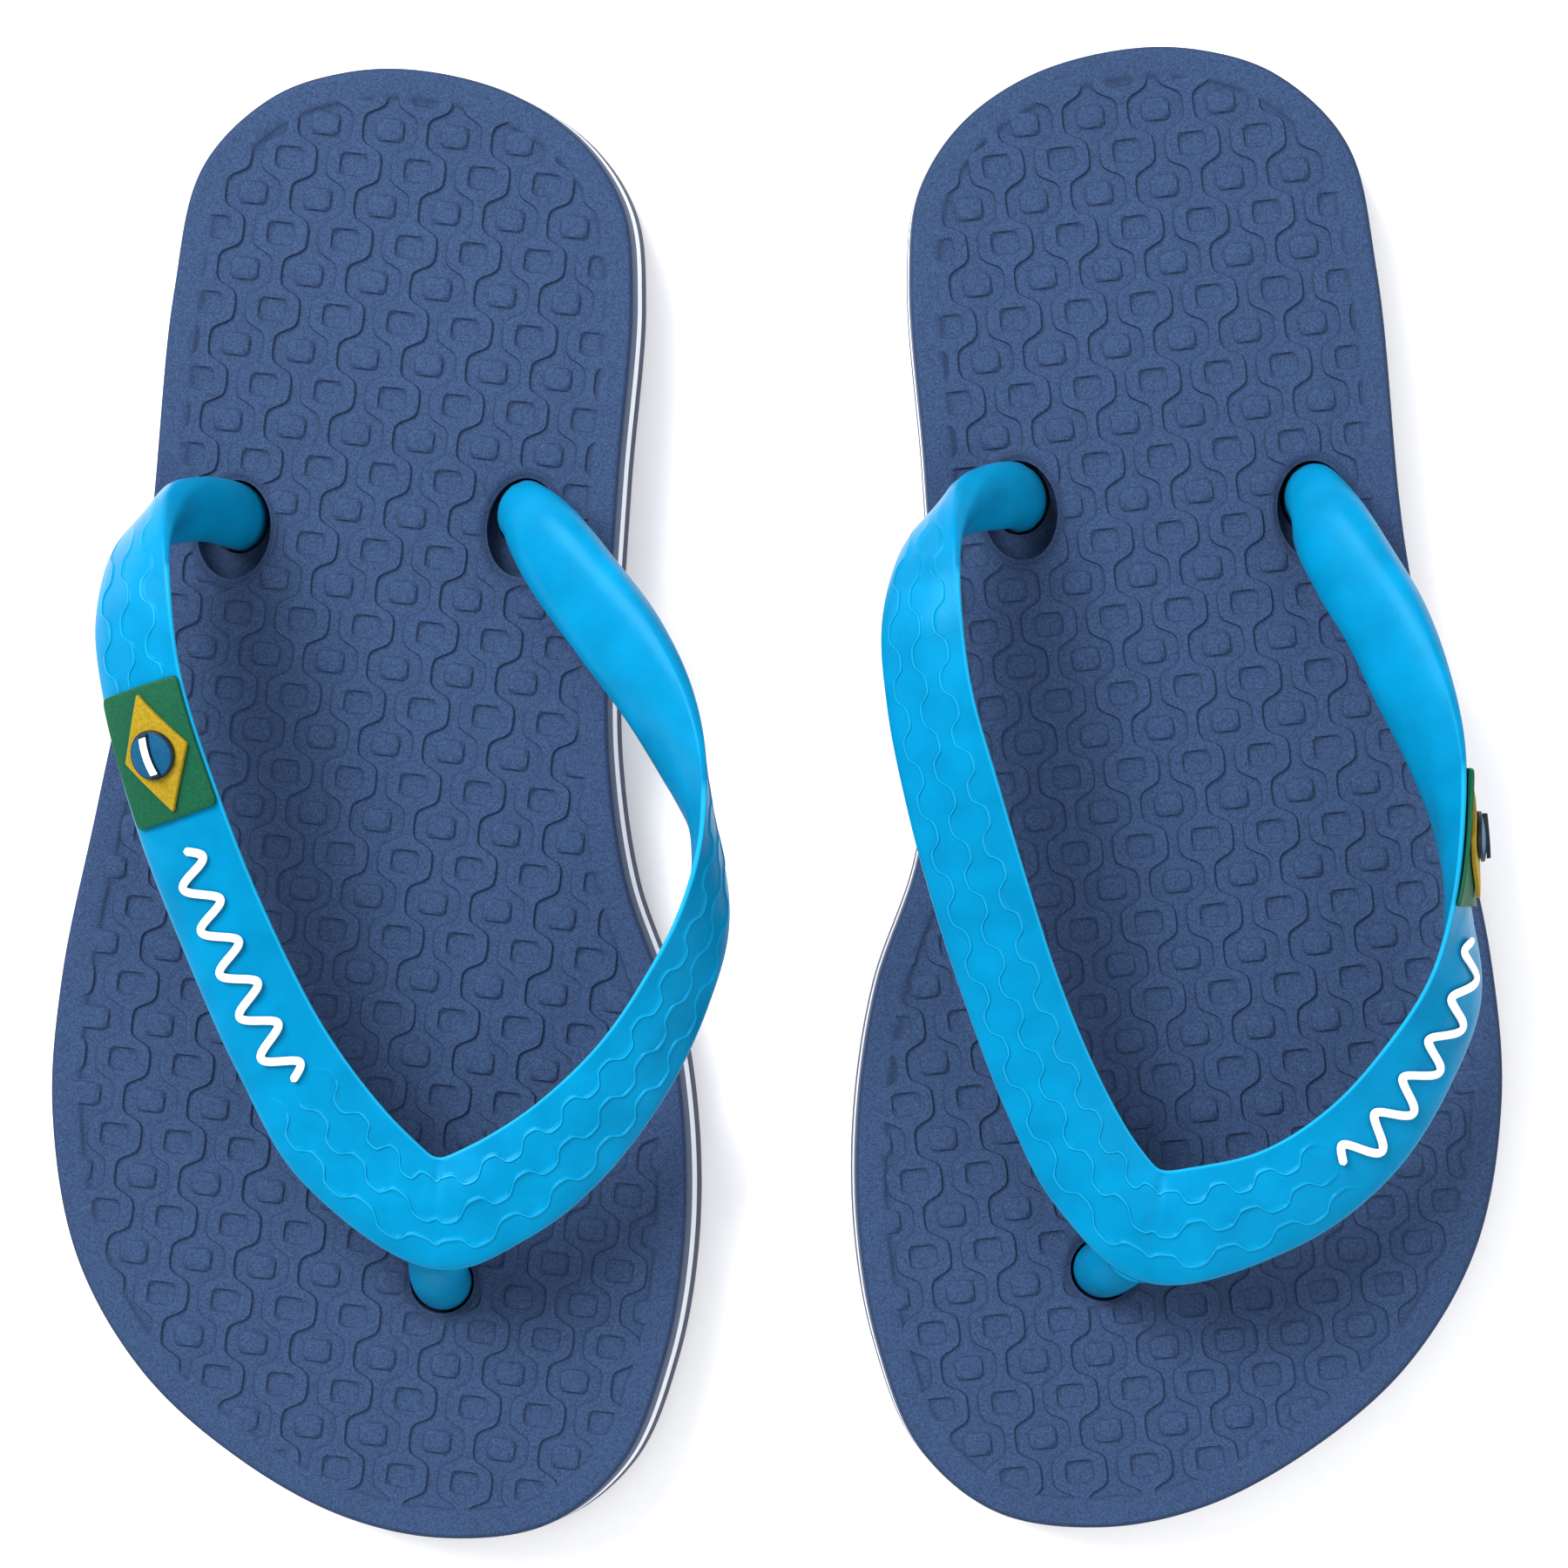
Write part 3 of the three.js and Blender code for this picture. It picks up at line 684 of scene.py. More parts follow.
def footbed(sandal):
    """The relief block kept inside the trim block, with the two slots and the toe bore."""
    rows = relief_rows()
    x = relief_columns(rows)
    y = np.broadcast_to(rows[:, None], x.shape)
    inset = outline_distance(x, y)
    hole = hole_distance(x, y)
    shown = smoothstep(inset, *PLAIN_MARGIN) * smoothstep(hole, *HOLE_MARGIN)
    lip = LIP_DEPTH * np.exp(-np.maximum(hole, 0) / LIP_REACH)
    level = between(1, relief_level(x, y), shown)
    surface = RELIEF_MIDDLE + STEP_HEIGHT / 2 * level - lip
    block = slab("footbed", x, y, surface, FOOTBED_BOTTOM - PAST)
    upper = edge_round(FOOTBED_EDGE, SOLE_TOP - FOOTBED_EDGE, 1)
    lower = edge_round(SEAM_EDGE, FOOTBED_BOTTOM + SEAM_EDGE, -1, 90)[::-1]
    slope = [(upper[-1][0] + SLOPE_REACH, upper[-1][1] + SLOPE_RISE)]
    trim = trim_block("trim", [*lower, (0, 10.5), *upper, *slope])
    combine(block, "INTERSECT", [trim])
    slot_bottom = FOOTBED_BOTTOM + SLOT_FLOOR
    slots = [oval_tool(place, *size, slot_bottom, SOLE_TOP + PAST) for place, size in HOLES[:2]]
    combine(block, "DIFFERENCE", slots)
    return combine(block, "DIFFERENCE", stem_tools(FOOTBED_BOTTOM - PAST, SOLE_TOP + PAST))


def footbed_layers(body):
    """What the foam's material reads: how raised, and how near the wall."""
    points = local_points(body)
    x, y, z = points.T
    store(body, "raised", (z - RELIEF_MIDDLE) / STEP_HEIGHT + 0.5)
    at_wall = smoothstep(-outline_distance(x, y, 11.0), -1.6, -1.2)
    store(body, "wall", at_wall * smoothstep(-z, -13.45, -13.1))


print("slots are", SOLE_TOP - FOOTBED_BOTTOM - SLOT_FLOOR, "mm deep, over", SLOT_FLOOR, "mm of foam")

# %% [markdown]
# ## Foam and rubber
#
# EVA foam is matt and slightly grainy, because the mould's skin prints on it. The die-cut wall
# is paler and greyer than the pressed skin. The midsole is white foam, and the outsole is a
# dark blue-grey rubber with the same grain and a little more gloss.

# %% Foam materials
GRAIN = 0.22  # mm between the foam's grains


def foam(name, base, grain_shade, wall_colour=None, painted_shade_colour=None, roughness=0.85):
    """
    EVA foam: matt, with a fine grain in colour and height and a faint patchiness. Where those
    colours are given, the wall is greyer, and painted shade darkens the relief's steps, the
    rounded top edge and, more faintly, all that lies below the relief, such as the holes.
    """
    material, tree, shader = new_material(name, roughness, Specular_IOR_Level=0.2)
    where = stored(tree, "own_mm", "Vector")
    grain = add(tree, "TexNoise", {"Vector": where, "Scale": 1 / GRAIN, "Detail": 3.0})
    patches = add(tree, "TexNoise", {"Vector": where, "Scale": 1 / 25})
    grained = spread(tree, grain.outputs["Fac"], 0.33, 0.67)
    colour = mix(tree, grained, linear(grain_shade), linear(base))
    if painted_shade_colour:
        # Painted shade: by how raised the surface is, its steps and what lies below the relief are
        # mixed towards the dark colour.
        dark = add(tree, "ValToRGB", {"Fac": spread(tree, stored(tree, "raised"), -1.0)})
        ramp = dark.color_ramp.elements
        ramp[0].color = (0.2, 0.2, 0.2, 1)
        ramp[1].color = (0, 0, 0, 1)
        for position, share in ((0.4, 0), (0.53, 0), (0.75, 0.45), (0.97, 0)):
            ramp.new(position).color = (share, share, share, 1)
        colour = mix(tree, dark.outputs["Color"], colour, linear(painted_shade_colour))
    if wall_colour:
        colour = mix(tree, stored(tree, "wall"), colour, linear(wall_colour))
    patchy = spread(tree, patches.outputs["Fac"], to_low=0.92, to_high=1.08)
    toned = add(tree, "HueSaturation", {"Color": colour, "Value": patchy})
    tree.links.new(toned.outputs["Color"], shader.inputs["Base Color"])
    bumps(tree, shader, grain.outputs["Fac"], 0.5, 0.00012)
    return material


# Its last colour is painted shade, for the relief's steps, the rounded top edge and the holes.
navy_foam = foam("eva_foam_navy", "#2d4264", "#1a2b46", "#4b5368", "#111b31")
white_foam = foam("eva_foam_white", "#d9dce2", "#cdd1d8", roughness=0.7)
navy_rubber = foam("rubber_blue_grey", "#454b5e", "#3a4052", roughness=0.75)
print("foams and rubber ready")

# %% The footbeds
for sandal in SIDES:
    piece = footbed(sandal)
    footbed_layers(piece)
    finish_piece(piece, sandal, "footbed", navy_foam, both_halves(sandal, "footbed"))
    bends(piece)

# %% [markdown]
# ## Midsole and outsole
#
# The midsole only shows its white wall. The outsole grips the ground with moulded bars that
# zigzag across the foot, inside a plain rim. The bars are a grid whose rows follow the zigzag,
# so that their edges stay sharp.

# %% Midsole

for sandal in SIDES:
    piece = layer_block("midsole", MIDSOLE_BOTTOM, FOOTBED_BOTTOM)
    combine(piece, "DIFFERENCE", stem_tools(MIDSOLE_BOTTOM - PAST, FOOTBED_BOTTOM + PAST))
    finish_piece(piece, sandal, "midsole", white_foam, both_halves(sandal, "midsole"))
    bends(piece)

# %% Outsole
BAR_SPACING, BAR_GROOVE, TREAD_DEPTH = 6.0, 1.8, 1.0
ZIGZAG_WIDTH, ZIGZAG_HEIGHT = 14.0, 2.4
TREAD_MARGIN = (4.0, 5.0)


def tread_surface():
    """
    The ground side of the outsole: z = depth inside a groove. The rows lie at fixed shares of
    a bar and its groove, and are moved along the foot by a soft zigzag of their x.
    """
    half, step = BAR_GROOVE / 2, 0.3
    shares = np.array([0, half - step, half, BAR_SPACING * 0.5, BAR_SPACING - half])
    shares = np.append(shares, BAR_SPACING - half + step)
    depth = np.array([1, 1, 0, 0, 0, 1.0])
    first = -27
    rows = (np.arange(first, 14)[:, None] * BAR_SPACING + shares).ravel()
    depths = np.tile(depth, len(rows) // len(shares))
    across = np.arange(-58, 58, 1.0)
    x, y = np.meshgrid(across, rows)
    wave = np.arcsin(0.96 * np.sin(2 * np.pi * x / ZIGZAG_WIDTH)) / (np.pi / 2)
    y = y + ZIGZAG_HEIGHT * wave
    shown = smoothstep(outline_distance(x, y, 0), *TREAD_MARGIN)
    clear = smoothstep(np.min([
        np.hypot(x - place[0], y - place[1]) for place in PLUGS.values()
    ], 0), PLUG_DIAMETER / 2 + 1.6, PLUG_DIAMETER / 2 + 2.4)
    return x, y, TREAD_DEPTH * depths[:, None] * shown * clear


for sandal in SIDES:
    x, y, surface = tread_surface()
    piece = slab("outsole", x, y, surface, MIDSOLE_BOTTOM + PAST)
    lower = edge_round(0.6, 0.6, -1)[::-1]
    slope = [(lower[0][0] + SLOPE_REACH, lower[0][1] - SLOPE_RISE)]
    upper = edge_round(SEAM_EDGE, MIDSOLE_BOTTOM - SEAM_EDGE, 1, 90)
    combine(piece, "INTERSECT", [trim_block("trim", [*slope, *lower, (0, 2.2), *upper])])
    recess = PLUG_DIAMETER + 2 * PLUG_CLEARANCE
    depth = PLUG_HEIGHT + PLUG_THICKNESS + PLUG_CLEARANCE
    recesses = [oval_tool(place, recess, recess, -PAST, depth) for place in PLUGS.values()]
    combine(piece, "DIFFERENCE", recesses)
    combine(piece, "DIFFERENCE", stem_tools(-PAST, MIDSOLE_BOTTOM + PAST))
    finish_piece(piece, sandal, "outsole", navy_rubber, both_halves(sandal, "outsole"))
    bends(piece)

# %% [markdown]
# ## The strap
#
# A strap is one moulding of soft, glossy rubber: an arm rises from each side as an oval stem,
# twists and flattens into a band, and both arms meet at a point over the toe post. Its outer
# face carries thin raised wave lines. A curve with a bevel would give one section all along, so
# the strap is a grid instead: its rows are stations along the band, each with its two edges and
# its thickness, and its columns run round the section. The wave lines are columns too, which
# swing from side to side as they run along. The two straps lie bent differently, so each has
# stations of its own.

# %% The strap's stations
# Each row: the foot-side edge x, y, height over the footbed, the outer edge's, the thickness.
STRAPS = {
    "right": {
        "outer": [
            (-20.5, 2.4, 2.5, -19.5, -6.4, 2, 7.2), (-22.3, 2, 9, -22, -6.3, 6.5, 6.6),
            (-23.5, -0.5, 17, -26.5, -6.8, 10.5, 5.4), (-23.2, -5.5, 23.5, -30.3, -9.3, 15, 4.2),
            (-21.5, -13.5, 27, -31.3, -18.5, 20, 3.4), (-18.7, -24.4, 27.5, -29, -28.8, 21, 3),
            (-12.3, -39.5, 25, -23.3, -44.3, 19.8, 3), (-5.5, -53.2, 21.5, -16.3, -58.9, 17, 3),
            (3.2, -67.2, 18.3, -7.5, -74.7, 14.8, 3), (11.8, -76.8, 16.4, 2, -87.5, 14, 3.2),
        ],
        "inner": [
            (20.8, 6.5, 2.5, 18.6, -1.8, 1.5, 7.2), (25.5, 4, 8, 18.5, -2.3, 3.8, 6.6),
            (32.3, -2.3, 12.5, 22.6, -8, 7, 5.6), (39.5, -9.8, 17, 30.2, -15.8, 10.8, 4.8),
            (45.3, -18.9, 21, 37.6, -23.2, 12.6, 4.2), (48.3, -28, 24, 43.4, -30, 13, 3.8),
            (49, -37.5, 25, 49.3, -37.8, 13.2, 3.4), (47.4, -46.5, 23.5, 52.5, -48, 13.3, 3.2),
            (44.2, -54.8, 21.5, 51.5, -58, 13.3, 3), (38.7, -65, 19, 47.4, -70.8, 13.3, 3),
            (31.5, -73.6, 17.2, 40, -83.4, 13.4, 3.1), (25.5, -78.7, 16.1, 31.8, -91.5, 13.7, 3.3),
        ],
        "point": (19.2, -82.8, 15.5, 20.8, -97, 14, 3.6),
        "post_top": (20, -92, 14.2),
    },
    "left": {
        "outer": [
            (-20.8, 1.5, 2.5, -17.2, -6.4, 1.5, 7.2), (-23.8, -3, 8, -16, -8.5, 3.6, 6.6),
            (-27, -10.5, 12.7, -17.9, -15.5, 7.5, 5.6), (-29.8, -18, 17, -20.8, -22.3, 11, 4.8),
            (-31.7, -27, 20.5, -23.4, -29.8, 12.8, 4.2), (-32.4, -36.5, 23, -26.4, -37.3, 13.3, 3.8),
            (-31.2, -46.5, 24, -29.3, -46.5, 12.7, 3.4), (-28.8, -57, 22.8, -30.9, -57.6, 11.8, 3.2),
            (-25, -66, 20.8, -31.6, -69, 11.5, 3), (-19, -73.6, 18.7, -27, -79.3, 11.6, 3),
            (-10.8, -81, 17, -18.3, -90.4, 12.1, 3), (-1.5, -85.6, 15.7, -5.2, -98.3, 12.8, 3.3),
        ],
        "inner": [
            (20.3, 6.9, 2.5, 20.5, -1.9, 2, 7.2), (22.8, 6.3, 8.5, 23.2, -2, 6, 6.6),
            (25.5, 3.5, 16, 28.5, -1.8, 9.8, 5.4), (27.4, -1.8, 22.5, 33.6, -3.5, 14, 4.2),
            (28.4, -11, 26.5, 38.2, -12.6, 19.8, 3.4), (28.3, -22.5, 27, 39, -23.5, 21, 3),
            (26.3, -35, 25.5, 38, -37, 20.5, 3), (24, -48, 23, 36, -50.5, 18.6, 3),
            (21.5, -60.5, 20, 33.3, -64, 16.5, 3), (18.2, -72.3, 17.5, 30, -77, 14.6, 3),
            (14.6, -81.5, 15.7, 25.2, -89.6, 13.6, 3.3),
        ],
        "point": (11.4, -87, 15, 14.8, -101, 13.5, 3.6),
        "post_top": (14.6, -95.8, 13.8),
    },
}
STEM_LEVELS = (PLUG_HEIGHT + PLUG_THICKNESS / 2 - SOLE_TOP, -5.5, -3)


def stem_stations(place):
    """Stations straight up through the sole: a stem's oval section at each level."""
    x, y = place
    half = STEM_SIZE[1] / 2
    return [(x, y + half, level, x, y - half, level, STEM_SIZE[0]) for level in STEM_LEVELS]


for sandal, drawn in STRAPS.items():
    print(sandal, "strap:", len(drawn["outer"]), "outer and", len(drawn["inner"]), "inner stations")

# %% Sections along the band
ROW_SPACING = 0.5  # mm along the band
NOTCH_ROUNDING = 2.2  # mm of the band over which the notch at the point is rounded


def eased(values, spacing, reach):
    """A running mean with a bell-shaped weight, exp(-(s/reach)^2), along the first axis."""
    steps = int(3 * reach / spacing)
    weight = np.exp(-((np.arange(-steps, steps + 1) * spacing / reach) ** 2))
    weight /= weight.sum()
    padded = np.concatenate([values[:1].repeat(steps, 0), values, values[-1:].repeat(steps, 0)])
    return np.stack([np.convolve(column, weight, "valid") for column in padded.T], 1)


def band_sections(sandal):
    """
    Evenly spaced sections from the outer stem over the point to the inner stem. The outer edge
    is one smooth curve. The foot-side edge is two, which meet in a notch that is then rounded.
    """
    drawn = STRAPS[sandal]
    outer = [*stem_stations(STEM_PLACES["outer"]), *drawn["outer"], drawn["point"]]
    inner = [drawn["point"], *drawn["inner"][::-1], *stem_stations(STEM_PLACES["inner"])[::-1]]
    every = np.array([*outer, *inner[1:]]) * [1, LENGTHEN, 1, 1, LENGTHEN, 1, 1]
    every[:, [2, 5]] += SOLE_TOP
    corner, last = len(outer) - 1, len(every) - 1

    def at(share):
        station = share * last
        foot = np.where(
            (station <= corner)[:, None],
            smooth_curve(every[: corner + 1, :3], station / corner),
            smooth_curve(every[corner:, :3], (station - corner) / (last - corner)),
        )
        thickness = np.interp(station, np.arange(last + 1), every[:, 6])
        return foot, smooth_curve(every[:, 3:6], share), thickness

    fine = np.linspace(0, 1, 4001)
    foot, out, _ = at(fine)
    middle = (foot + out) / 2
    length = np.concatenate([[0], np.cumsum(np.linalg.norm(np.diff(middle, axis=0), axis=1))])
    to_point = np.interp(corner / last, fine, length)
    count = int(length[-1] / ROW_SPACING)
    where = np.linspace(0, length[-1], count + 1)
    spacing = where[1]
    foot, out, thickness = at(np.interp(where, length, fine))
    from_point = where - to_point
    near_notch = np.exp(-((from_point / 5) ** 2))[:, None]
    foot = between(foot, eased(foot, spacing, NOTCH_ROUNDING), near_notch)
    out = between(out, eased(out, spacing, NOTCH_ROUNDING), near_notch)
    middle, half = (foot + out) / 2, (foot - out) / 2
    normal = np.cross(eased(np.gradient(middle, axis=0), spacing, 2.0), half)
    normal /= np.linalg.norm(normal, axis=1)[:, None]
    return {
        "middle": middle, "half": half, "normal": normal,
        "thickness": eased(thickness[:, None], spacing, 1.5)[:, 0], "from_point": from_point,
    }


sections = {sandal: band_sections(sandal) for sandal in SIDES}
for sandal, band in sections.items():
    print(sandal, "band:", len(band["middle"]), "sections")

# %% The section's shape
BAND_THICKNESS = 3.0
BAND_HALF_WIDTH = 6.0
BAND_POWER = 4.0  # of the flat band's rounded section; an oval's is 2
EDGE_TAPER = 0.35  # how much of the band's thickness is left at its foot-side edge


def section_power(thickness):
    """The superellipse's power: 2 for the thick stem, up to that of the flat band."""
    flat = smoothstep(-thickness, -STEM_SIZE[0], -BAND_THICKNESS)
    return between(2, BAND_POWER, flat)


def face_rise(across, thickness):
    """
    Height of a face over the band's middle: T/2 (1 - |c|^n)^(1/n), c from -1 to 1 across.
    The flat band thins towards its foot-side edge, where c is 1.
    """
    power = section_power(thickness)
    inside = np.maximum(1 - np.abs(across) ** power, 0)
    thinned = smoothstep(across, 0.1, 1) * smoothstep(-thickness, -5, -3.4)
    return thickness / 2 * inside ** (1 / power) * between(1, EDGE_TAPER, thinned)


rises = face_rise(np.array([-0.9, 0.0, 0.9]), BAND_THICKNESS)
print("the band's face rises", rises.round(2), "mm at its outer side, middle and foot side")

# %% The strap's wave lines
LINES_ACROSS = (-3.3, 0.0, 3.3)  # mm from the band's middle
LINE_SWING, LINE_PERIOD = 0.75, 7.2
LINE_WIDTH, LINE_HEIGHT = 0.45, 0.18
# On a line's crest the rim value also paints light on the strap, as at a thin edge.
LINE_RIM = 0.98  # the rim value on a line's crest, which makes it a little paler
EDGE_SHARES = np.array([1, 0.998, 0.992, 0.98, 0.955, 0.92])


def line_wave(along):
    """A soft square wave along the band, for the raised lines."""
    return np.tanh(1.8 * np.sin(2 * np.pi * along / LINE_PERIOD)) / np.tanh(1.8)


def outer_columns(band):
    """Shares across the outer face for its columns, row by row, and how high each is raised."""
    along = np.abs(band["from_point"])
    swing = LINE_SWING * line_wave(along)
    columns, raised = [], []
    previous = np.full(len(along), -EDGE_SHARES[-1])
    for number, place in enumerate([*LINES_ACROSS, None]):
        if place is None:
            line = [np.full(len(along), EDGE_SHARES[-1])]
        else:
            centre = place + (-1) ** number * swing
            offsets = LINE_WIDTH * np.array([-0.5, -0.2, 0.2, 0.5])
            line = [(centre + offset) / BAND_HALF_WIDTH for offset in offsets]
        for share in (0.12, 0.88):
            columns.append(between(previous, line[0], share))
            raised.append(0)
        columns.extend(line)
        raised.extend([0, 1, 1, 0] if place is not None else [0])
        previous = line[-1]
    return np.stack(columns, 1), np.array(raised, float)


def line_height(band):
    """The lines fade out on the stems, and under the emblem and the print."""
    thin = smoothstep(-band["thickness"], -4.6, -3.6)
    outer_arm = -band["from_point"]
    under = smoothstep(outer_arm, PRINT_START - 3, PRINT_START) * smoothstep(
        -outer_arm, -EMBLEM_AT - 9, -EMBLEM_AT - 8
    )
    return LINE_HEIGHT * thin * (1 - under)


print("raised lines:", len(LINES_ACROSS), "of", LINE_WIDTH, "mm, each", LINE_HEIGHT, "mm high")

# %% Places along the outer arm
PRINT_START, PRINT_LENGTH = 26.0, 33.0  # mm from the strap's point
EMBLEM_AT = 71.8


def over_arm(sandal, along, across, lift):
    """
    Points over the outer arm's face: along it from the strap's point, across from its middle,
    and lifted along its normal over the face's own curve.
    """
    band = sections[sandal]
    order = np.argsort(-band["from_point"])
    distance = -band["from_point"][order]
    along, across, lift = np.broadcast_arrays(along, across, lift)

    def pick(values):
        return np.stack([np.interp(along, distance, column) for column in values[order].T], -1)

    middle, half, normal = (pick(band[key]) for key in ("middle", "half", "normal"))
    thickness = np.interp(along, distance, band["thickness"][order])
    reach = np.linalg.norm(half, axis=-1)
    rise = face_rise(np.clip(across / reach, -0.97, 0.97), thickness) + lift
    normal = normal / np.linalg.norm(normal, axis=-1)[..., None]
    return middle + half * (across / reach)[..., None] + normal * rise[..., None]


for sandal in SIDES:
    print(sandal, "emblem at", over_arm(sandal, EMBLEM_AT, 0.0, 0.0).round(1), "mm")

# %% The strap's body


def band_body(sandal):
    """The band and its stems: a ring of columns at every section, closed at both stems' ends."""
    band = sections[sandal]
    count = len(band["middle"])
    face, raised = outer_columns(band)
    edge = np.broadcast_to(EDGE_SHARES[:-1], (count, len(EDGE_SHARES) - 1))
    under = np.broadcast_to(np.linspace(EDGE_SHARES[-1], -EDGE_SHARES[-1], 9), (count, 9))
    outer = np.concatenate([-edge, face, edge[:, ::-1]], 1)
    inner = np.concatenate([edge[:, 1:], under, -edge[:, :0:-1]], 1)
    thickness = band["thickness"][:, None]
    lift = np.zeros(outer.shape[1])
    lift[edge.shape[1] : edge.shape[1] + len(raised)] = raised
    crease = -0.3 * np.exp(-((band["from_point"] / 0.7) ** 2))[:, None]
    crease = crease * smoothstep(outer, -0.9, 0.6) * smoothstep(-outer, -0.98, -0.9)
    line = line_height(band)[:, None] * lift
    outer_rise = face_rise(outer, thickness) + line + crease
    shares = np.concatenate([outer, inner], 1)[..., None]
    rises = np.concatenate([outer_rise, -face_rise(inner, thickness)], 1)[..., None]
    rows = band["middle"][:, None] + band["half"][:, None] * shares + band["normal"][:, None] * rises
    first, last = rows[0].mean(0)[None], rows[-1].mean(0)[None]
    # The rim values tell the strap's material where to paint light: at its thin edges and on the
    # raised lines.
    rims = np.abs(shares[..., 0]) * smoothstep(-thickness, -4.6, -3.6)
    rims[:, : outer.shape[1]] = np.maximum(rims[:, : outer.shape[1]], LINE_RIM * line / LINE_HEIGHT)
    return closed_body("band", [first, *rows, last], [0, *rims, 0])


def post_body(sandal):
    """The toe post: a round stem through the sole that leans back and widens under the band."""
    x, y = PLUGS["toe"]
    top_x, top_y, top_z = np.array(STRAPS[sandal]["post_top"]) * [1, LENGTHEN, 1]
    path = [
        (x, y, PLUG_HEIGHT + PLUG_THICKNESS / 2), (x, y, 8), (x, y, SOLE_TOP - 1),
        (between(x, top_x, 0.3), between(y, top_y, 0.3), SOLE_TOP + 0.45 * top_z),
        (between(x, top_x, 0.8), between(y, top_y, 0.8), SOLE_TOP + 0.82 * top_z),
        (top_x, top_y, SOLE_TOP + top_z),
    ]
    steps = np.linspace(0, 1, 60)
    centre = smooth_curve(path, steps)
    flare = 1 + 0.32 * smoothstep(steps, 0.72, 1) ** 2
    turn = np.linspace(0, 2 * np.pi, 48, endpoint=False)
    ring = np.stack([np.cos(turn), np.sin(turn), 0 * turn], 1) * POST_DIAMETER / 2
    rows = centre[:, None] + ring[None] * flare[:, None, None]
    return closed_body("post", [centre[:1], *rows, centre[-1:]])


def plug_body(place):
    """A plug's disc, turned round its stem: a profile with rounded rims."""
    radius, rim = PLUG_DIAMETER / 2, 0.85
    turn = np.radians(np.linspace(-90, 0, 6))
    lower = [(radius - rim + rim * math.cos(t), rim + rim * math.sin(t)) for t in turn]
    upper = [(r, PLUG_THICKNESS - z) for r, z in lower[::-1]]
    around = np.linspace(0, 2 * np.pi, 64, endpoint=False)
    ring = np.stack([np.cos(around), np.sin(around)], 1)
    bottom = [(0, 0), (radius / 2, 0)]
    top = [(radius / 2, PLUG_THICKNESS), (0, PLUG_THICKNESS)]
    rows = [
        np.column_stack([ring * r + place, np.full(len(ring), PLUG_HEIGHT + z)])
        for r, z in [*bottom, *lower, *upper, *top]
    ]
    return closed_body("plug", rows)


print("stems go", SOLE_TOP - PLUG_HEIGHT, "mm into the sole, to", len(PLUGS), "plugs")

# %% [markdown]
# ## Strap rubber
#
# The strap is injection-moulded thermoplastic rubber in a clear cyan. Its skin is smooth, so it
# has a broad soft gloss, a little uneven from flow marks. Where an edge or a raised line is thin
# it is painted paler, as light would pass through it. True scattering would do the same slower.

# %% Strap material


def strap_rubber():
    """Moulded rubber: saturated cyan, half gloss, flow marks, and painted light that makes it paler
    where its edge is thin.
    """
    material, tree, shader = new_material(
        "moulded_rubber_cyan", 0.36, Specular_IOR_Level=0.14, Specular_Tint=linear("#7fd8ff")
    )
    where = stored(tree, "own_mm", "Vector")
    flow = add(tree, "TexNoise", {"Vector": where, "Scale": 1 / 6, "Detail": 4.0})
    skin = add(tree, "TexNoise", {"Vector": where, "Scale": 1 / 0.35, "Detail": 2.0})
    streaks = spread(tree, flow.outputs["Fac"], 0.3, 0.7)
    colour = mix(tree, streaks, linear("#006993"), linear("#0075a2"))
    # Painted light: thin edges and the lines' crests are mixed towards a paler cyan, as if light
    # passed through them.
    thin = spread(tree, stored(tree, "rim"), 0.955, 0.995, to_high=0.55)
    painted_edge_light = mix(tree, thin, colour, linear("#1f9fcb"))
    tree.links.new(painted_edge_light, shader.inputs["Base Color"])
    rough = spread(tree, flow.outputs["Fac"], to_low=0.26, to_high=0.42)
    tree.links.new(rough, shader.inputs["Roughness"])
    bumps(tree, shader, skin.outputs["Fac"], 0.3, 0.00006)
    return material


cyan_rubber = strap_rubber()
print("strap rubber ready")

# %% The straps
for sandal in SIDES:
    piece = band_body(sandal)
    plugs = [plug_body(place) for place in PLUGS.values()]
    combine(piece, "UNION", [post_body(sandal), *plugs])
    finish_piece(piece, sandal, "strap", cyan_rubber, [f"{sandal}_strap"], crease=50)
    bends(piece)

# %% [markdown]
# ## The emblem and the print
#
# The emblem is moulded in steps on the outer arm: a rounded patch, a lozenge, a domed disc and a
# bar across it. They are plain shapes in plain colours. Flat plates would stand off the curved
# arm, so each is a set of rings laid over the arm's own face, with rounded edges. The print is
# one even wave, a bead with round ends.

# %% Emblem shapes
EMBLEM_LAYER, EMBLEM_GAP = 0.5, 0.2
PATCH_SIZE = (17.2, 12.0)
PATCH_SHIFT, BADGE_SHIFT = 0.4, 1.0  # mm from the arm's middle towards its foot-side edge
LOZENGE_SIZE = (15.3, 9.4)
DISC_DIAMETER = 6.2
BAR_SIZE = (5.5, 1.25)


def rounded_polygon(corners, radius, count=144):
    """A polygon's outline with its corners eased over a radius, as evenly spaced points."""
    corners = np.array([*corners, corners[0]], float)
    length = np.concatenate([[0], np.cumsum(np.linalg.norm(np.diff(corners, axis=0), axis=1))])
    where = np.arange(count) * length[-1] / count
    points = np.stack([np.interp(where, length, column) for column in corners.T], 1)
    spacing = length[-1] / count
    tripled = np.concatenate([points] * 3)
    return eased(tripled, spacing, radius)[count : 2 * count]


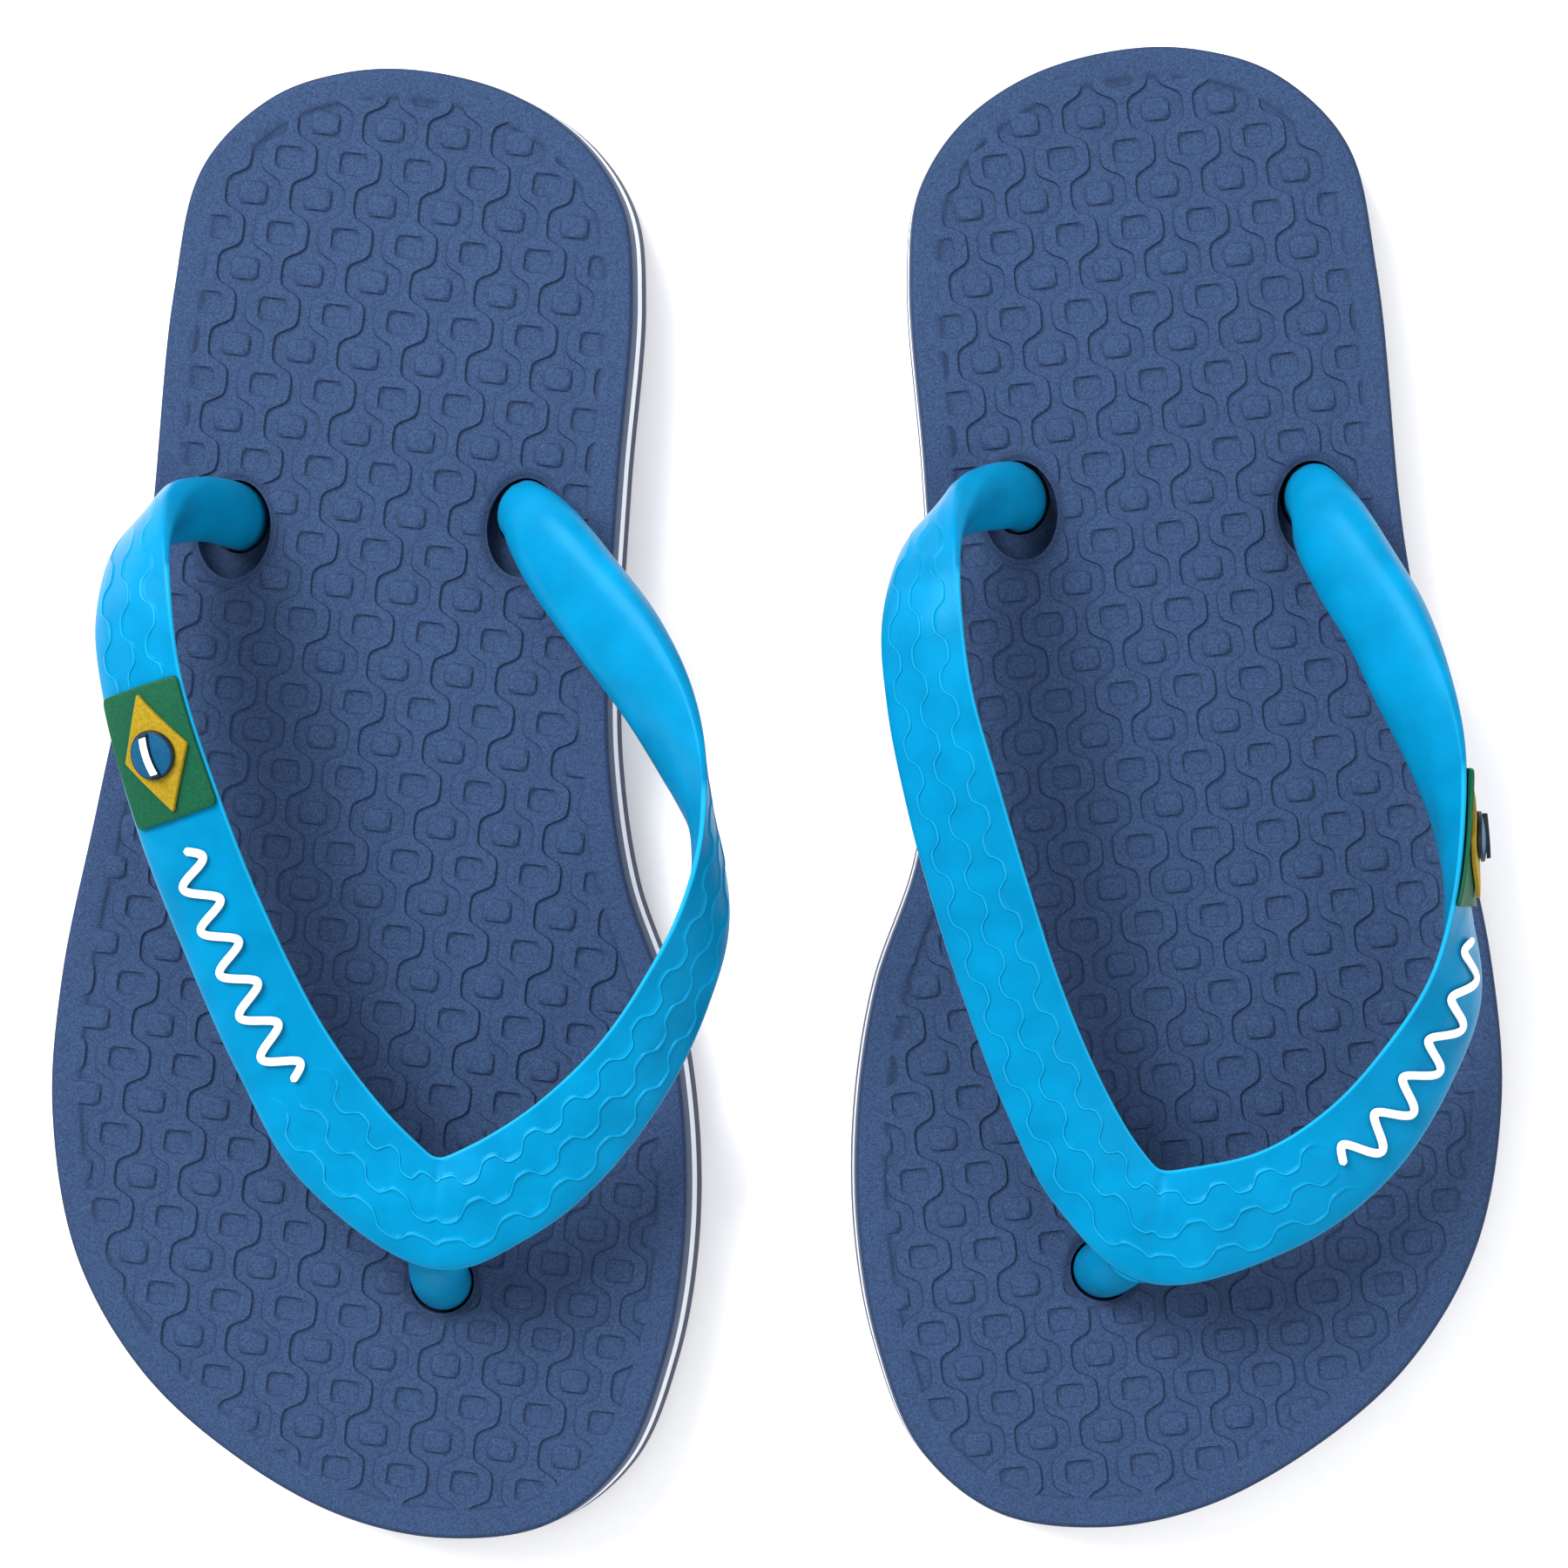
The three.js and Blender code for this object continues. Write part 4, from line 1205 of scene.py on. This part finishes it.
def badge_body(sandal, shape, shift, lift, dome=0.0, edge=0.22):
    """Rings of a flat shape laid over the arm: the underside, the rounded edge, the top."""
    reach = np.linalg.norm(shape, axis=1).max()
    turn = np.radians(np.linspace(0, 90, 5))
    rim = [
        (1 - edge * (1 - math.cos(t)) / reach, EMBLEM_LAYER - edge + edge * math.sin(t))
        for t in turn
    ]
    inwards_shares = (0.95, 0.91, *np.linspace(0.87, 0, 11))
    inner = [(rim[-1][0] * s, EMBLEM_LAYER + dome * (1 - s * s)) for s in inwards_shares]
    under = [(s, 0) for s in np.linspace(0, 1, 8)]
    levels = [*under, *rim, *inner]
    rows = [
        over_arm(
            sandal, EMBLEM_AT + shape[:, 0] * share, shift + shape[:, 1] * share, lift + height
        )
        for share, height in levels
    ]
    return closed_body("badge", rows, [share for share, _ in levels])


half_patch = np.array(PATCH_SIZE) / 2
patch_shape = rounded_polygon(half_patch * [(1, 1), (1, -1), (-1, -1), (-1, 1)], 0.8)
half_lozenge = np.array(LOZENGE_SIZE) / 2
lozenge_shape = rounded_polygon(half_lozenge * [(1, 0), (0, -1), (-1, 0), (0, 1)], 0.25)
turn = -np.linspace(0, 2 * np.pi, 96, endpoint=False)
disc_shape = np.stack([np.cos(turn), np.sin(turn)], 1) * DISC_DIAMETER / 2
half_bar = np.array(BAR_SIZE) / 2
bar_shape = rounded_polygon(half_bar * [(1, 1), (1, -1), (-1, -1), (-1, 1)], 0.12)
bar_shape[:, 1] += 0.35 * (bar_shape[:, 0] / half_bar[0]) ** 2 - 0.15
print("emblem shapes ready")

# %% Emblem and print materials


def soft_paint(name, base, shade, roughness, outlined_from=None):
    """
    A thin skin of pigmented rubber ink: even, slightly grainy, with a soft satin gloss.
    outlined_from is the rim value past which the ink has a dark outline.
    """
    material, tree, shader = new_material(name, roughness, Specular_IOR_Level=0.16)
    where = stored(tree, "own_mm", "Vector")
    grain = add(tree, "TexNoise", {"Vector": where, "Scale": 1 / 0.4, "Detail": 3.0})
    grained = spread(tree, grain.outputs["Fac"], 0.35, 0.65)
    colour = mix(tree, grained, linear(shade), linear(base))
    if outlined_from:
        dark = spread(tree, stored(tree, "rim"), outlined_from, outlined_from + 0.04)
        colour = mix(tree, dark, colour, linear("#0c1c24"))
    tree.links.new(colour, shader.inputs["Base Color"])
    bumps(tree, shader, grain.outputs["Fac"], 0.3, 0.00006)
    return material


green_ink = soft_paint("rubber_ink_green", "#044b31", "#04402a", 0.5)
yellow_ink = soft_paint("rubber_ink_yellow", "#917910", "#80690c", 0.5)
blue_ink = soft_paint("rubber_ink_blue", "#02476c", "#023e60", 0.4, outlined_from=0.89)
white_ink = soft_paint("rubber_ink_white", "#e4e6e8", "#d9dcdf", 0.45)
outlined_white_ink = soft_paint("rubber_ink_white_outlined", "#d2dadb", "#c6cfd1", 0.45, 0.84)
print("inks ready")

# %% The emblems
LAYERS = [
    ("emblem_patch", patch_shape, PATCH_SHIFT, 0.0, green_ink, "emblem_green"),
    ("emblem_lozenge", lozenge_shape, BADGE_SHIFT, 0.0, yellow_ink, "emblem_yellow"),
    ("emblem_disc", disc_shape, BADGE_SHIFT, 0.25, blue_ink, "emblem_blue"),
    ("emblem_bar", bar_shape, BADGE_SHIFT, 0.0, outlined_white_ink, "print_white"),
]
for sandal in SIDES:
    for level, (part, shape, shift, dome, material, slot) in enumerate(LAYERS):
        lift = EMBLEM_GAP + level * (EMBLEM_LAYER + EMBLEM_GAP)
        piece = badge_body(sandal, shape, shift, lift, dome)
        finish_piece(piece, sandal, part, material, [f"{sandal}_{part}"])
        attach(piece, f"{sandal}_heel")

# %% The printed wave
WAVES, WAVE_HEIGHT, WAVE_STROKE = 5.5, 2.2, 1.1


def wave_body(sandal):
    """A bead along across = h sin(kx): an oval section square to the line, with round ends."""
    along = np.linspace(0, PRINT_LENGTH, 420)
    rate = 2 * np.pi * WAVES / PRINT_LENGTH
    across, slope = WAVE_HEIGHT * np.sin(rate * along), WAVE_HEIGHT * rate * np.cos(rate * along)
    steep = np.hypot(1, slope)
    travelled = np.concatenate([[0], np.cumsum(np.hypot(np.diff(along), np.diff(across)))])
    to_end = np.minimum(travelled, travelled[-1] - travelled) / (WAVE_STROKE / 2)
    width = np.sqrt(np.clip(1 - (1 - np.clip(to_end, 0, 1)) ** 2, 0, 1)) * WAVE_STROKE / 2
    turn = np.linspace(0, 2 * np.pi, 14, endpoint=False)
    side = width[:, None] * np.sign(np.cos(turn)) * np.abs(np.cos(turn)) ** 0.7
    rise = EMBLEM_GAP + EMBLEM_LAYER / 2 * (1 + np.sign(np.sin(turn)) * np.abs(np.sin(turn)) ** 0.7)
    rows = over_arm(
        sandal,
        PRINT_START + along[:, None] - side * (slope / steep)[:, None],
        across[:, None] + side / steep[:, None],
        np.broadcast_to(rise, side.shape),
    )
    return closed_body("wave", [rows[0].mean(0)[None], *rows, rows[-1].mean(0)[None]])


for sandal in SIDES:
    piece = wave_body(sandal)
    finish_piece(piece, sandal, "strap_print", white_ink, [f"{sandal}_strap_print"])
    bends(piece)
